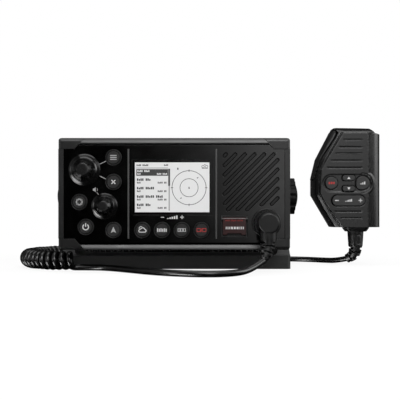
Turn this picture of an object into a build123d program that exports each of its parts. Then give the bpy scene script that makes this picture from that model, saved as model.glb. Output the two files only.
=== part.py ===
"""Fixed-mount VHF marine radio on its gimbal bracket, with a fist microphone on a curly cord.

Sizes are millimetres. X runs to the right, Y to the back and Z up. The origin is the centre of
the bracket's screw pattern, on the underside of its base.
"""
from build123d import *
import math
import os

# ---------------------------------------------------------------- clearances
running_fit = 0.06        # radial play of a shaft in its bore
slip = 0.3                # play around a key or cover in its opening
seam = 0.15               # line between two fixed pieces
face_gap = 0.1            # play between two flat faces that slide on each other

# ---------------------------------------------------------------- front panel
panel_width = 182.0
panel_height = 88.0
panel_centre_z = 61.9
panel_front_y = -68.0
panel_depth = 14.0
panel_corner = 2.6
panel_wall = 2.5
panel_front_wall = 3.0
rail_height = 5.4
rail_rounding = 1.5
side_strip_width = 4.1
side_strip_drop = 0.4
cap_reach = 8.7           # height of a corner cap down the side
cap_seam_outer = 70.4     # where the slanted seam meets the outer edge
cap_seam_inner = 75.1     # where it meets the fascia's edge
cap_seam_end = 78.0       # where it turns along the cap's foot
fascia_drop = 0.8         # fascia face behind the rail faces
fascia_thickness = 1.6
divider_width = 1.3
divider_height = 70.5
divider_proud = 0.25
left_divider_x = -36.0
right_divider_x = 33.0

# ---------------------------------------------------------------- display
display_width = 58.5
display_height = 39.1
display_x = -1.65
display_z = 67.05
window_margin = 2.0
window_drop = 0.1
module_margin = 1.0

# ---------------------------------------------------------------- keys of the panel
key_radius = 6.4
key_cap_radius = 4.9
key_groove = 0.5
key_groove_depth = 0.7
key_ring_proud = 1.3
key_cap_proud = 1.6
key_bevel = 0.3
key_lip = 0.8
key_lip_thickness = 0.9
key_travel = 0.8
key_column_x = -47.6
menu_key_z = 90.4
cancel_key_z = 71.2
overboard_key_x = -74.3
overboard_key_z = 55.5
power_key_x = -69.3
power_key_z = 35.9
key_row_z = 33.5
key_row_x = -25.0
key_row_pitch = 15.45

# ---------------------------------------------------------------- knobs
channel_knob_radius = 12.4
channel_knob_top = 5.2
channel_knob_x = -70.3
channel_knob_z = 80.7
volume_knob_radius = 10.3
volume_knob_top = 4.3
volume_knob_x = -54.6
volume_knob_z = 52.1
knob_height = 10.6
knob_stand_off = 1.0      # from the fascia, so that the knob can be pressed
knob_skirt_height = 1.7
knob_skirt_step = 1.3
knob_bore_roof = 2.6
shaft_radius = 3.0
shaft_travel = 0.6
encoder_size = 13.0
encoder_depth = 6.5
bush_radius = 4.6

# ---------------------------------------------------------------- distress key and its cover
distress_x = 47.15
distress_z = 36.4
distress_frame_width = 20.5
distress_frame_height = 16.8
distress_frame_wall = 1.1
distress_frame_proud = 0.5
cover_side_gap = 0.2
cover_thickness = 1.7
cover_proud = 2.4         # front of the cover before the fascia
cover_bottom_gap = 0.7
cover_barrel_radius = 1.3
cover_pin_radius = 0.7
cover_notch_width = 11.0
cover_notch_height = 1.2
distress_key_radius = 4.4
distress_key_under_cover = 0.5

# ---------------------------------------------------------------- speaker
speaker_x = 60.2
speaker_z = 71.2
speaker_radius = 22.6
speaker_cone_radius = 19.0
speaker_flange = 2.0
speaker_depth = 17.0
magnet_radius = 12.0
magnet_depth = 9.0
cone_thickness = 0.6
slot_field_left = 38.3
slot_field_right = 82.2
slot_field_bottom = 48.4
slot_field_top = 94.1
slot_pitch = 7.5          # along X, for slots at 45 degrees
slot_phase = 0.45         # share of a pitch before the first slot
slot_width = 2.9
slot_keep_off = 14.2      # from the socket's centre
screen_thickness = 0.6

# ---------------------------------------------------------------- inside the panel
mat_thickness = 1.2
mat_margin = 12.5         # edge of mat and board inside the fascia's left and lower edge
board_thickness = 1.6
board_bottom_gap = 3.2
transmitter_board_width = 146.0
transmitter_board_length = 84.0
transmitter_board_z = 38.0
standoff_radius = 3.0

# ---------------------------------------------------------------- microphone socket and plug
socket_x = 72.3
socket_z = 39.0
socket_flange_radius = 11.5
socket_flange_proud = 2.2
socket_flange_bevel = 0.6
socket_barrel_radius = 9.3
socket_nut_thickness = 3.0
socket_floor = 2.0
plug_stem_radius = 6.5
plug_stem_length = 9.0    # inside the socket
plug_head_radius = 8.1
plug_head_length = 13.0
plug_head_rounding = 1.6
plug_neck_radius = 6.3
plug_neck_z = 26.5
ring_radius = 9.7
ring_length = 7.8
ring_gap = 0.4
ring_groove_count = 24
ring_groove_radius = 0.45

# ---------------------------------------------------------------- rear chassis
chassis_width = 164.0
chassis_height = 75.8
chassis_back_y = 54.0
chassis_wall = 2.6
chassis_corner = 3.0
flange_inset = 0.8
flange_thickness = 3.0
gasket_thickness = 1.0
gasket_width = 2.0
gasket_inset = 0.4
fin_count = 15
fin_pitch = 10.0
fin_thickness = 2.2
fin_depth = 8.0
fin_height = 40.0
fin_top_gap = 2.5
boss_radius = 11.0
boss_inner_radius = 8.0
case_screw_x = 86.0
case_screw_z = 37.6       # above and below the panel's centre
case_screw_radius = 1.5
case_screw_length = 7.4
case_screw_head_radius = 2.7
case_screw_head = 1.6        # sunk level with the flange
case_screw_boss = 3.6

# ---------------------------------------------------------------- sockets on the back
rear_socket_z = 38.5
antenna_socket_x = -48.0
antenna_thread_radius = 7.9
antenna_thread_length = 13.0
antenna_plate = 25.0
antenna_plate_thickness = 2.5
antenna_bore_radius = 5.6
antenna_bore_depth = 10.0
antenna_pin_radius = 1.9
data_socket_x = -12.0
data_socket_radius = 6.0
data_socket_length = 14.0
position_socket_x = 18.0
position_socket_radius = 4.8
position_socket_length = 11.0
small_socket_flange = 2.4
gland_x = 52.0
gland_radius = 7.5
gland_length = 13.0
gland_tip_radius = 4.6
gland_nut = 5.0

# ---------------------------------------------------------------- gimbal bracket
pivot_y = 20.0
pivot_z = 62.3
arm_inner_x = 86.0
arm_foot_thickness = 10.5
arm_top_thickness = 8.0
arm_end_radius = 16.5
base_length = 58.0
base_height = 11.3
base_top_wall = 3.4
base_rim = 3.2
base_corner = 4.0
arm_fillet = 4.0
rib_thickness = 2.4
pockets_across = 7
pockets_deep = 2
base_screw_x = 75.0
base_screw_y = 18.0
base_screw_radius = 2.6
base_boss_radius = 5.5
washer_radius = 13.0
washer_thickness = 1.0
stud_radius = 4.0
stud_depth = 11.0         # into the chassis boss
knob_hub_radius = 9.0
knob_rim_radius = 16.35
knob_rim_start = 97.0
knob_rim_width = 8.2
knob_dome = 3.2
knob_lobe_count = 12
knob_lobe_radius = 2.6
stud_roof = 3.0

# ---------------------------------------------------------------- handset
mic_x = 150.0
mic_z = 34.3
mic_front_y = 12.0
mic_depth = 30.0
mic_split = 15.0
mic_bevel_depth = 9.0
mic_back_bevel = 6.0
mic_back_inset = 5.0
mic_wall = 2.4
mic_height = 89.9
mic_left = 27.4
mic_right = 33.8
mic_face_right = 21.3
mic_face_top = 84.6
mic_face_left = 21.9
mic_key_y_play = 0.25
mic_key_proud = 1.2
mic_key_lip = 0.7
mic_key_row = 39.6
mic_recess = 1.8
mic_recess_depth = 0.8
priority_key_x = -12.1
priority_key_radius = 5.6
strength_key_x = 15.8
strength_key_radius = 6.2
strength_bulge = 10.0
step_key_x = 3.3
step_key_width = 11.2
step_key_height = 4.9
step_key_up_z = 44.2
step_key_down_z = 34.7
rocker_x = 3.1
rocker_z = 23.9
rocker_width = 29.0
rocker_height = 9.2
rocker_travel = 1.1
mic_slot_top = 78.3
mic_slot_pitch = 6.2
mic_slot_left = -1.5
mic_slot_step = 3.6
mic_slot_right = 15.5
mic_slot_width = 1.3
mic_slot_depth = 0.8
mic_slot_count = 5
mic_low_slot_z = 14.2
mic_low_slot_left = -8.8
mic_low_slot_step = 5.3
mic_low_slot_count = 2
mic_board_thickness = 1.6
mic_board_bottom = 5.0
mic_board_top = 62.0
mic_post_radius = 3.0
mic_screw_radius = 1.2
mic_screw_length = 10.0
mic_screw_head_radius = 2.3
mic_screw_head = 1.6
hang_stud_z = 58.0
hang_stud_radius = 4.0
hang_stud_length = 5.0
hang_cap_radius = 6.5
hang_cap_thickness = 2.0

# push-to-talk lever, in the handset's own frame
ptt_pivot = (0.0, 80.7)
ptt_lug_radius = 3.2
ptt_pin_radius = 1.3
ptt_pin_length = 1.6
ptt_angle = 4.0
ptt_sweep_steps = 6       # poses of the lever that its room is cut for
ptt_side_wall = 3.0       # cheek in front of and behind the lever
ptt_side_gap = 0.25

# ---------------------------------------------------------------- cord
cord_radius = 2.5
coil_radius = 8.15
boot_rib_thickness = 1.3
boot_rib_proud = 0.8
plug_boot_start_radius = 6.0
plug_boot_tip_radius = 3.0
mic_boot_start_radius = 7.4
mic_boot_neck_radius = 6.4
mic_boot_tip_radius = 3.7
mic_boot_barrel = 13.8
mic_collar_width = 22.9
mic_collar_depth = 17.0
mic_collar_height = 3.8
mic_boot_x = 163.3
mic_boot_y = 27.0

# routes, from end to end
plug_boot_tip = (68.2, -88.4, 11.0)
front_tail_route = [
    plug_boot_tip,
    (58.5, -95.0, 4.4),
    (46.0, -104.5, 2.5),
    (22.0, -112.5, 2.5),
    (-12.0, -95.5, 2.5),
    (-39.5, -64.5, 2.5),
    (-53.5, -50.2, 2.5),
    (-66.5, -44.0, 2.5),
    (-80.0, -44.0, 2.5),
]
coil_route = [
    (-80.0, -44.0, coil_radius),
    (-101.0, -44.0, coil_radius),
    (-129.0, -16.0, coil_radius),
    (-130.5, 26.0, coil_radius),
    (-114.0, 58.0, coil_radius),
    (-80.0, 73.0, coil_radius),
    (-35.0, 75.0, coil_radius),
    (10.0, 74.6, coil_radius),
    (50.0, 73.2, coil_radius),
    (75.0, 71.6, coil_radius),
    (99.0, 69.2, coil_radius),
]
mic_boot_tip = (155.4, 30.6, 5.2)
rear_tail_route = [
    (99.0, 69.2, cord_radius),
    (110.0, 68.1, cord_radius),
    (126.0, 60.8, cord_radius),
    (139.0, 47.6, cord_radius),
    (147.2, 37.2, 3.0),
    mic_boot_tip,
]

# ---------------------------------------------------------------- levels worked out from the above
panel_top = panel_centre_z + panel_height / 2
panel_bottom = panel_centre_z - panel_height / 2
panel_back_y = panel_front_y + panel_depth
fascia_y = panel_front_y + fascia_drop
seat_y = fascia_y + fascia_thickness
wall_back_y = seat_y + panel_front_wall
fascia_top = panel_top - rail_height
fascia_bottom = panel_bottom + rail_height
fascia_half = panel_width / 2 - side_strip_width
lip_front_y = wall_back_y + face_gap
lip_back_y = lip_front_y + key_lip_thickness
mat_front_y = lip_back_y + key_travel + slip
board_front_y = mat_front_y + mat_thickness
board_back_y = board_front_y + board_thickness
flange_front_y = panel_back_y + gasket_thickness
flange_back_y = flange_front_y + flange_thickness
keys = {
    "key_menu": (key_column_x, menu_key_z),
    "key_cancel": (key_column_x, cancel_key_z),
    "key_overboard": (overboard_key_x, overboard_key_z),
    "key_power": (power_key_x, power_key_z),
    "key_nav": (key_column_x, key_row_z),
    "key_dim": (key_row_x, key_row_z),
    "key_scan": (key_row_x + key_row_pitch, key_row_z),
    "key_watch": (key_row_x + 2 * key_row_pitch, key_row_z),
    "key_priority": (key_row_x + 3 * key_row_pitch, key_row_z),
}
knob_centres = {
    "channel": (channel_knob_x, channel_knob_z),
    "volume": (volume_knob_x, volume_knob_z),
}
case_screws = [
    (side * case_screw_x, panel_centre_z + level * case_screw_z)
    for side in (-1, 1)
    for level in (-1, 1)
]

os.makedirs("parts", exist_ok=True)


# ---------------------------------------------------------------- helpers
def facing_front(y):
    """A plane across Y whose normal points to the front. Its own axes are X and Z."""
    return Plane(origin=(0, y, 0), x_dir=(1, 0, 0), z_dir=(0, -1, 0))


def facing_right(x):
    """A plane across X whose normal points to the right. Its own axes are Y and Z."""
    return Plane(origin=(x, 0, 0), x_dir=(0, 1, 0), z_dir=(1, 0, 0))


def round_bar(centre, radius, front_y, back_y, mode=Mode.ADD):
    """A round bar along Y, or a round hole with Mode.SUBTRACT."""
    with BuildSketch(facing_front(back_y)) as section:
        with Locations(centre):
            Circle(radius)
    extrude(section.sketch, amount=back_y - front_y, mode=mode)


def square_bar(centre, width, height, front_y, back_y, mode=Mode.ADD):
    """A rectangular block between two depths."""
    with BuildSketch(facing_front(back_y)) as section:
        with Locations(centre):
            Rectangle(width, height)
    extrude(section.sketch, amount=back_y - front_y, mode=mode)


def side_bar(radius, x_from, x_to, mode=Mode.ADD):
    """A round bar along X on the tilt axis."""
    with BuildSketch(facing_right(x_from)) as section:
        with Locations((pivot_y, pivot_z)):
            Circle(radius)
    extrude(section.sketch, amount=x_to - x_from, mode=mode)


def turned(outline, centre, mode=Mode.ADD):
    """Turn an outline of (radius, y) points about a line along Y."""
    x, z = centre
    with BuildSketch(Plane(origin=(x, 0, z), x_dir=(1, 0, 0), z_dir=(0, 0, 1))) as profile:
        with BuildLine():
            Polyline(*outline, close=True)
        make_face()
    revolve(profile.sketch, Axis((x, 0, z), (0, 1, 0)), mode=mode)


def save(piece, name):
    """Label a finished piece and write its STEP file."""
    piece.part.label = name
    export_step(piece.part, f"parts/{name}.step")


# ---------------------------------------------------------------- front housing
with BuildPart() as front_housing:
    with BuildSketch(facing_front(panel_back_y)):
        with Locations((0, panel_centre_z)):
            RectangleRounded(panel_width, panel_height, panel_corner)
    extrude(amount=panel_back_y - seat_y)
    for side in (-1, 1):
        square_bar(
            (side * (panel_width - side_strip_width) / 2, panel_centre_z),
            side_strip_width,
            panel_height - 2 * cap_reach - 2 * seam,
            panel_front_y + side_strip_drop,
            seat_y,
        )
    square_bar(
        (0, panel_centre_z),
        panel_width - 2 * panel_wall,
        panel_height - 2 * panel_wall,
        wall_back_y,
        panel_back_y,
        Mode.SUBTRACT,
    )
    for place in case_screws:
        round_bar(place, case_screw_boss, wall_back_y, panel_back_y)
        round_bar(
            place,
            case_screw_radius + running_fit,
            flange_back_y - case_screw_head - case_screw_length - face_gap,
            panel_back_y,
            Mode.SUBTRACT,
        )
    square_bar(
        (display_x, display_z),
        display_width + 2 * module_margin + 2 * slip,
        display_height + 2 * module_margin + 2 * slip,
        seat_y,
        wall_back_y,
        Mode.SUBTRACT,
    )
    for place in keys.values():
        round_bar(place, key_radius + slip, seat_y, wall_back_y, Mode.SUBTRACT)
    for place in knob_centres.values():
        round_bar(place, shaft_radius + slip, seat_y, wall_back_y, Mode.SUBTRACT)
    round_bar(
        (distress_x, distress_z), distress_key_radius + slip, seat_y, wall_back_y, Mode.SUBTRACT
    )
    round_bar(
        (socket_x, socket_z), socket_barrel_radius + seam, seat_y, wall_back_y, Mode.SUBTRACT
    )
    round_bar((speaker_x, speaker_z), speaker_cone_radius, seat_y, wall_back_y, Mode.SUBTRACT)
save(front_housing, "front_housing")

# ---------------------------------------------------------------- rails and corner caps
for name, edge_z, inner_z in (
    ("top_rail", panel_top, fascia_top),
    ("bottom_rail", panel_bottom, fascia_bottom),
):
    with BuildPart() as rail:
        with BuildSketch(facing_front(seat_y)):
            with BuildLine():
                Polyline(
                    (-cap_seam_outer, edge_z),
                    (cap_seam_outer, edge_z),
                    (cap_seam_inner, inner_z),
                    (-cap_seam_inner, inner_z),
                    close=True,
                )
            make_face()
        extrude(amount=seat_y - panel_front_y)
        front_edges = rail.edges().group_by(Axis.Y)[0].filter_by(Axis.X)
        fillet(front_edges.sort_by(lambda edge: abs(edge.center().Z - edge_z))[0], rail_rounding)
    save(rail, name)

with BuildPart() as corner_caps:
    with BuildSketch(facing_front(seat_y)):
        for side in (-1, 1):
            for edge_z, level in ((panel_top, -1), (panel_bottom, 1)):
                with BuildLine():
                    Polyline(
                        (side * (cap_seam_outer + seam), edge_z),
                        (side * panel_width / 2, edge_z),
                        (side * panel_width / 2, edge_z + level * cap_reach),
                        (side * (cap_seam_end + seam), edge_z + level * cap_reach),
                        close=True,
                    )
                make_face()
        with Locations((0, panel_centre_z)):
            RectangleRounded(panel_width, panel_height, panel_corner, mode=Mode.INTERSECT)
    extrude(amount=seat_y - panel_front_y)
    chamfer(corner_caps.faces().group_by(Axis.Y)[0].edges(), key_bevel)
save(corner_caps, "corner_caps")

# ---------------------------------------------------------------- fascia
with BuildPart() as fascia_panel:
    with BuildSketch(facing_front(seat_y)):
        with Locations((0, (fascia_top + fascia_bottom) / 2)):
            Rectangle(2 * (fascia_half - seam), fascia_top - fascia_bottom - 2 * seam)
        # the feet of the corner caps take the fascia's four corners
        for side in (-1, 1):
            for edge_z, level in ((panel_top, -1), (panel_bottom, 1)):
                with BuildLine():
                    Polyline(
                        (side * (cap_seam_inner - seam), edge_z + level * rail_height),
                        (side * (cap_seam_end - seam), edge_z + level * (cap_reach + seam)),
                        (side * fascia_half, edge_z + level * (cap_reach + seam)),
                        (side * fascia_half, edge_z + level * rail_height),
                        close=True,
                    )
                make_face(mode=Mode.SUBTRACT)
        with Locations((display_x, display_z)):
            Rectangle(
                display_width + 2 * window_margin + 2 * seam,
                display_height + 2 * window_margin + 2 * seam,
                mode=Mode.SUBTRACT,
            )
        with Locations(*keys.values()):
            Circle(key_radius + slip, mode=Mode.SUBTRACT)
        with Locations(*knob_centres.values()):
            Circle(shaft_radius + slip, mode=Mode.SUBTRACT)
        with Locations((distress_x, distress_z)):
            Rectangle(
                distress_frame_width + 2 * seam, distress_frame_height + 2 * seam, mode=Mode.SUBTRACT
            )
        with Locations((socket_x, socket_z)):
            Circle(socket_barrel_radius + seam, mode=Mode.SUBTRACT)
    extrude(amount=fascia_thickness)
    # sound slots: each runs up to the right at 45 degrees, and is cut to the field
    field_width = slot_field_right - slot_field_left
    field_height = slot_field_top - slot_field_bottom
    slot_total = int((field_width + field_height) / slot_pitch)
    with BuildSketch(facing_front(seat_y)):
        for index in range(slot_total + 1):
            # the line x - z = line_shift, followed from the field's lower left to its upper right
            line_shift = slot_field_left - slot_field_top + slot_pitch * (index + slot_phase)
            x_low = max(slot_field_left, slot_field_bottom + line_shift)
            x_high = min(slot_field_right, slot_field_top + line_shift)
            # the socket's ring stops the lowest slots short
            from_socket = abs(socket_x - socket_z - line_shift) / math.sqrt(2)
            nearest_x = (socket_x + socket_z + line_shift) / 2
            if from_socket < slot_keep_off:
                half_chord = math.sqrt(slot_keep_off**2 - from_socket**2) / math.sqrt(2)
                x_low = max(x_low, nearest_x + half_chord)
            run = (x_high - x_low) * math.sqrt(2)
            if run > 1.5 * slot_width:
                middle = (x_low + x_high) / 2
                with Locations(Location((middle, middle - line_shift, 0), (0, 0, 45))):
                    SlotOverall(run, slot_width)
    extrude(amount=fascia_thickness, mode=Mode.SUBTRACT)
save(fascia_panel, "fascia_panel")

with BuildPart() as divider_strips:
    for strip_x in (left_divider_x, right_divider_x):
        square_bar(
            (strip_x, panel_centre_z), divider_width, divider_height, fascia_y - divider_proud, fascia_y
        )
save(divider_strips, "divider_strips")

with BuildPart() as speaker_screen:
    round_bar(
        (speaker_x, speaker_z), speaker_cone_radius - slip, seat_y, seat_y + screen_thickness
    )
save(speaker_screen, "speaker_screen")

# ---------------------------------------------------------------- display
with BuildPart() as lcd_window:
    square_bar(
        (display_x, display_z),
        display_width + 2 * window_margin,
        display_height + 2 * window_margin,
        fascia_y + window_drop,
        seat_y,
    )
save(lcd_window, "lcd_window")

with BuildPart() as lcd_module:
    square_bar(
        (display_x, display_z),
        display_width + 2 * module_margin,
        display_height + 2 * module_margin,
        seat_y + face_gap,
        board_front_y,
    )
save(lcd_module, "lcd_module")

# ---------------------------------------------------------------- keypad mat and boards
mat_left = -fascia_half + mat_margin - panel_wall
mat_right = right_divider_x - panel_wall
mat_bottom = panel_bottom + panel_wall + board_bottom_gap
mat_top = panel_top - panel_wall - board_bottom_gap
mat_centre = ((mat_left + mat_right) / 2, (mat_bottom + mat_top) / 2)
with BuildPart() as keypad_mat:
    square_bar(mat_centre, mat_right - mat_left, mat_top - mat_bottom, mat_front_y, board_front_y)
    square_bar(
        (display_x, display_z),
        display_width + 2 * module_margin + 2 * slip,
        display_height + 2 * module_margin + 2 * slip,
        mat_front_y,
        board_front_y,
        Mode.SUBTRACT,
    )
    for place in knob_centres.values():
        round_bar(place, bush_radius + slip, mat_front_y, board_front_y, Mode.SUBTRACT)
save(keypad_mat, "keypad_mat")

chassis_half = chassis_width / 2
chassis_top = panel_centre_z + chassis_height / 2
chassis_bottom = panel_centre_z - chassis_height / 2
transmitter_board_y = (flange_back_y + chassis_back_y) / 2
with BuildPart() as circuit_boards:
    square_bar(mat_centre, mat_right - mat_left, mat_top - mat_bottom, board_front_y, board_back_y)
    for place in knob_centres.values():
        round_bar(place, bush_radius + slip, board_front_y, board_back_y, Mode.SUBTRACT)
    with BuildSketch(Plane.XY.offset(transmitter_board_z)):
        with Locations((0, transmitter_board_y)):
            Rectangle(transmitter_board_width, transmitter_board_length)
    extrude(amount=board_thickness)
save(circuit_boards, "circuit_boards")

# ---------------------------------------------------------------- keys
for name, place in keys.items():
    with BuildPart() as key:
        turned(
            [
                (0, fascia_y - key_cap_proud),
                (key_cap_radius - key_bevel, fascia_y - key_cap_proud),
                (key_cap_radius, fascia_y - key_cap_proud + key_bevel),
                (key_cap_radius, fascia_y - key_ring_proud + key_groove_depth),
                (key_cap_radius + key_groove, fascia_y - key_ring_proud + key_groove_depth),
                (key_cap_radius + key_groove, fascia_y - key_ring_proud),
                (key_radius - key_bevel, fascia_y - key_ring_proud),
                (key_radius, fascia_y - key_ring_proud + key_bevel),
                (key_radius, lip_front_y),
                (key_radius + key_lip, lip_front_y),
                (key_radius + key_lip, lip_back_y),
                (0, lip_back_y),
            ],
            place,
        )
    save(key, name)

# ---------------------------------------------------------------- knobs, shafts and encoders
knob_back_y = fascia_y - knob_stand_off
knob_front_y = knob_back_y - knob_height
bore_roof_y = knob_front_y + knob_bore_roof
shaft_back_y = board_back_y + encoder_depth - knob_bore_roof
for name, place, radius, top_radius in (
    ("channel", knob_centres["channel"], channel_knob_radius, channel_knob_top),
    ("volume", knob_centres["volume"], volume_knob_radius, volume_knob_top),
):
    body_radius = radius - knob_skirt_step
    shoulder = (radius + 2 * top_radius) / 3
    with BuildPart() as knob:
        x, z = place
        with BuildSketch(Plane(origin=(x, 0, z), x_dir=(1, 0, 0), z_dir=(0, 0, 1))):
            with BuildLine():
                Polyline(
                    (0, knob_front_y),
                    (0, knob_back_y),
                    (radius - key_bevel, knob_back_y),
                    (radius, knob_back_y - key_bevel),
                    (radius, knob_back_y - knob_skirt_height + key_bevel),
                    (radius - key_bevel, knob_back_y - knob_skirt_height),
                    (body_radius, knob_back_y - knob_skirt_height - key_bevel),
                )
                Spline(
                    (body_radius, knob_back_y - knob_skirt_height - key_bevel),
                    (body_radius - 0.8, (knob_back_y + knob_front_y) / 2),
                    (shoulder, knob_front_y + key_bevel),
                    tangents=[(0, -1), (-1, -0.35)],
                )
                Line((shoulder, knob_front_y + key_bevel), (top_radius, knob_front_y))
                Line((top_radius, knob_front_y), (0, knob_front_y))
            make_face()
        revolve(axis=Axis((x, 0, z), (0, 1, 0)))
        round_bar(place, shaft_radius + running_fit, bore_roof_y, knob_back_y, Mode.SUBTRACT)
    save(knob, f"{name}_knob")

    with BuildPart() as shaft:
        round_bar(place, shaft_radius, bore_roof_y + face_gap, shaft_back_y)
        chamfer(shaft.edges().filter_by(GeomType.CIRCLE), key_bevel)
    save(shaft, f"{name}_shaft")

    with BuildPart() as encoder:
        square_bar(place, encoder_size, encoder_size, board_back_y, board_back_y + encoder_depth)
        round_bar(place, bush_radius, wall_back_y, board_back_y)
        round_bar(
            place,
            shaft_radius + running_fit,
            wall_back_y,
            shaft_back_y + shaft_travel + slip,
            Mode.SUBTRACT,
        )
    save(encoder, f"{name}_encoder")

# ---------------------------------------------------------------- distress key, frame and cover
frame_top = distress_z + distress_frame_height / 2
frame_bottom = distress_z - distress_frame_height / 2
cover_width = distress_frame_width - 2 * distress_frame_wall - 2 * cover_side_gap
cover_front_y = fascia_y - cover_proud
hinge_z = frame_top - distress_frame_wall - slip - cover_barrel_radius
hinge_y = cover_front_y + cover_barrel_radius - face_gap
ear_reach = cover_barrel_radius + face_gap
with BuildPart() as distress_frame:
    with BuildSketch(facing_front(seat_y)):
        with Locations((distress_x, distress_z)):
            Rectangle(distress_frame_width, distress_frame_height)
            Rectangle(
                distress_frame_width - 2 * distress_frame_wall,
                distress_frame_height - 2 * distress_frame_wall,
                mode=Mode.SUBTRACT,
            )
    extrude(amount=seat_y - fascia_y + distress_frame_proud)
    for side in (-1, 1):
        ear_x = distress_x + side * (distress_frame_width - distress_frame_wall) / 2
        with BuildSketch(facing_right(ear_x - distress_frame_wall / 2)):
            with Locations((hinge_y, hinge_z)):
                Circle(ear_reach)
            with Locations(((hinge_y + seat_y) / 2, hinge_z)):
                Rectangle(seat_y - hinge_y, 2 * ear_reach)
        extrude(amount=distress_frame_wall)
    with BuildSketch(facing_right(distress_x - distress_frame_width / 2)):
        with Locations((hinge_y, hinge_z)):
            Circle(cover_pin_radius + running_fit)
    extrude(amount=distress_frame_width, mode=Mode.SUBTRACT)
save(distress_frame, "distress_frame")

cover_bottom = frame_bottom + distress_frame_wall + cover_bottom_gap
with BuildPart() as distress_cover:
    with BuildSketch(facing_right(distress_x - cover_width / 2)):
        with Locations((hinge_y, hinge_z)):
            Circle(cover_barrel_radius)
        with Locations((cover_front_y + cover_thickness / 2, (hinge_z + cover_bottom) / 2)):
            Rectangle(cover_thickness, hinge_z - cover_bottom)
    extrude(amount=cover_width)
    square_bar(
        (distress_x, cover_bottom),
        cover_notch_width,
        2 * cover_notch_height,
        cover_front_y,
        cover_front_y + cover_thickness,
        Mode.SUBTRACT,
    )
    with BuildSketch(facing_right(distress_x - distress_frame_width / 2 + cover_side_gap)):
        with Locations((hinge_y, hinge_z)):
            Circle(cover_pin_radius)
    extrude(amount=distress_frame_width - 2 * cover_side_gap)
save(distress_cover, "distress_cover")

with BuildPart() as distress_key:
    key_front_y = cover_front_y + cover_thickness + distress_key_under_cover
    distress_lip_back = lip_front_y + key_lip_thickness
    turned(
        [
            (0, key_front_y),
            (distress_key_radius - key_bevel, key_front_y),
            (distress_key_radius, key_front_y + key_bevel),
            (distress_key_radius, lip_front_y),
            (distress_key_radius + key_lip, lip_front_y),
            (distress_key_radius + key_lip, distress_lip_back),
            (0, distress_lip_back),
        ],
        (distress_x, distress_z),
    )
save(distress_key, "distress_key")

# ---------------------------------------------------------------- speaker
with BuildPart() as speaker_frame:
    speaker_back_y = wall_back_y + speaker_depth
    turned(
        [
            (speaker_cone_radius, wall_back_y),
            (speaker_radius, wall_back_y),
            (speaker_radius, wall_back_y + speaker_flange),
            (speaker_cone_radius + speaker_flange, wall_back_y + speaker_flange),
            (magnet_radius, speaker_back_y - magnet_depth),
            (magnet_radius, speaker_back_y),
            (0, speaker_back_y),
            (0, speaker_back_y - magnet_depth),
            (magnet_radius - speaker_flange, speaker_back_y - magnet_depth),
            (speaker_cone_radius, wall_back_y + speaker_flange),
        ],
        (speaker_x, speaker_z),
    )
save(speaker_frame, "speaker_frame")

with BuildPart() as speaker_cone:
    cone_rim = speaker_cone_radius - slip
    cone_back_y = speaker_back_y - magnet_depth - slip
    cone_foot = magnet_radius - speaker_flange - 2 * slip
    turned(
        [
            (0, cone_back_y - cone_thickness),
            (cone_foot, cone_back_y - cone_thickness),
            (cone_rim - cone_thickness, wall_back_y),
            (cone_rim, wall_back_y),
            (cone_rim, wall_back_y + cone_thickness),
            (cone_foot + cone_thickness, cone_back_y),
            (0, cone_back_y),
        ],
        (speaker_x, speaker_z),
    )
save(speaker_cone, "speaker_cone")

# ---------------------------------------------------------------- microphone socket and plug
socket_at = (socket_x, socket_z)
flange_y = fascia_y - socket_flange_proud
plug_tip_y = flange_y + plug_stem_length
socket_back_y = plug_tip_y + face_gap + socket_floor
with BuildPart() as mic_socket:
    turned(
        [
            (0, plug_tip_y + face_gap),
            (plug_stem_radius + running_fit, plug_tip_y + face_gap),
            (plug_stem_radius + running_fit, flange_y),
            (socket_flange_radius - socket_flange_bevel, flange_y),
            (socket_flange_radius, flange_y + socket_flange_bevel),
            (socket_flange_radius, fascia_y),
            (socket_barrel_radius, fascia_y),
            (socket_barrel_radius, socket_back_y),
            (0, socket_back_y),
        ],
        socket_at,
    )
    with BuildSketch(facing_front(wall_back_y + socket_nut_thickness)):
        with Locations(socket_at):
            RegularPolygon(socket_flange_radius, 6)
    extrude(amount=socket_nut_thickness)
    round_bar(
        socket_at,
        plug_stem_radius + running_fit,
        flange_y,
        plug_tip_y + face_gap,
        Mode.SUBTRACT,
    )
save(mic_socket, "mic_socket")

ring_back_y = flange_y - ring_gap
ring_front_y = ring_back_y - ring_length
head_back_y = ring_front_y - ring_gap
head_front_y = head_back_y - plug_head_length
neck_y = (head_back_y + head_front_y) / 2
with BuildPart() as plug_body:
    round_bar(socket_at, plug_stem_radius, head_back_y, plug_tip_y)
    round_bar(socket_at, plug_head_radius, head_front_y, head_back_y)
    fillet(plug_body.edges().group_by(Axis.Y)[0], plug_head_rounding)
    with BuildSketch(Plane.XY.offset(plug_neck_z)):
        with Locations((socket_x, neck_y)):
            Circle(plug_neck_radius)
    extrude(amount=socket_z - plug_neck_z)
save(plug_body, "plug_body")

with BuildPart() as coupling_ring:
    round_bar(socket_at, ring_radius, ring_front_y, ring_back_y)
    round_bar(socket_at, plug_stem_radius + running_fit, ring_front_y, ring_back_y, Mode.SUBTRACT)
    with BuildSketch(facing_front(ring_back_y)):
        with Locations(socket_at):
            with PolarLocations(ring_radius, ring_groove_count):
                Circle(ring_groove_radius)
    extrude(amount=ring_length, mode=Mode.SUBTRACT)
save(coupling_ring, "coupling_ring")


# ---------------------------------------------------------------- boots and cord
def bend_radii(route):
    """The radius at each inner corner of a route, as large as its two runs allow."""
    radii = []
    for before, corner, after in zip(route, route[1:], route[2:]):
        run_in = Vector(*corner) - Vector(*before)
        run_out = Vector(*after) - Vector(*corner)
        half_turn = math.radians(run_in.get_angle(run_out)) / 2
        shorter = min(run_in.length, run_out.length)
        radii.append(0.45 * shorter / math.tan(half_turn))
    return radii


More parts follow.
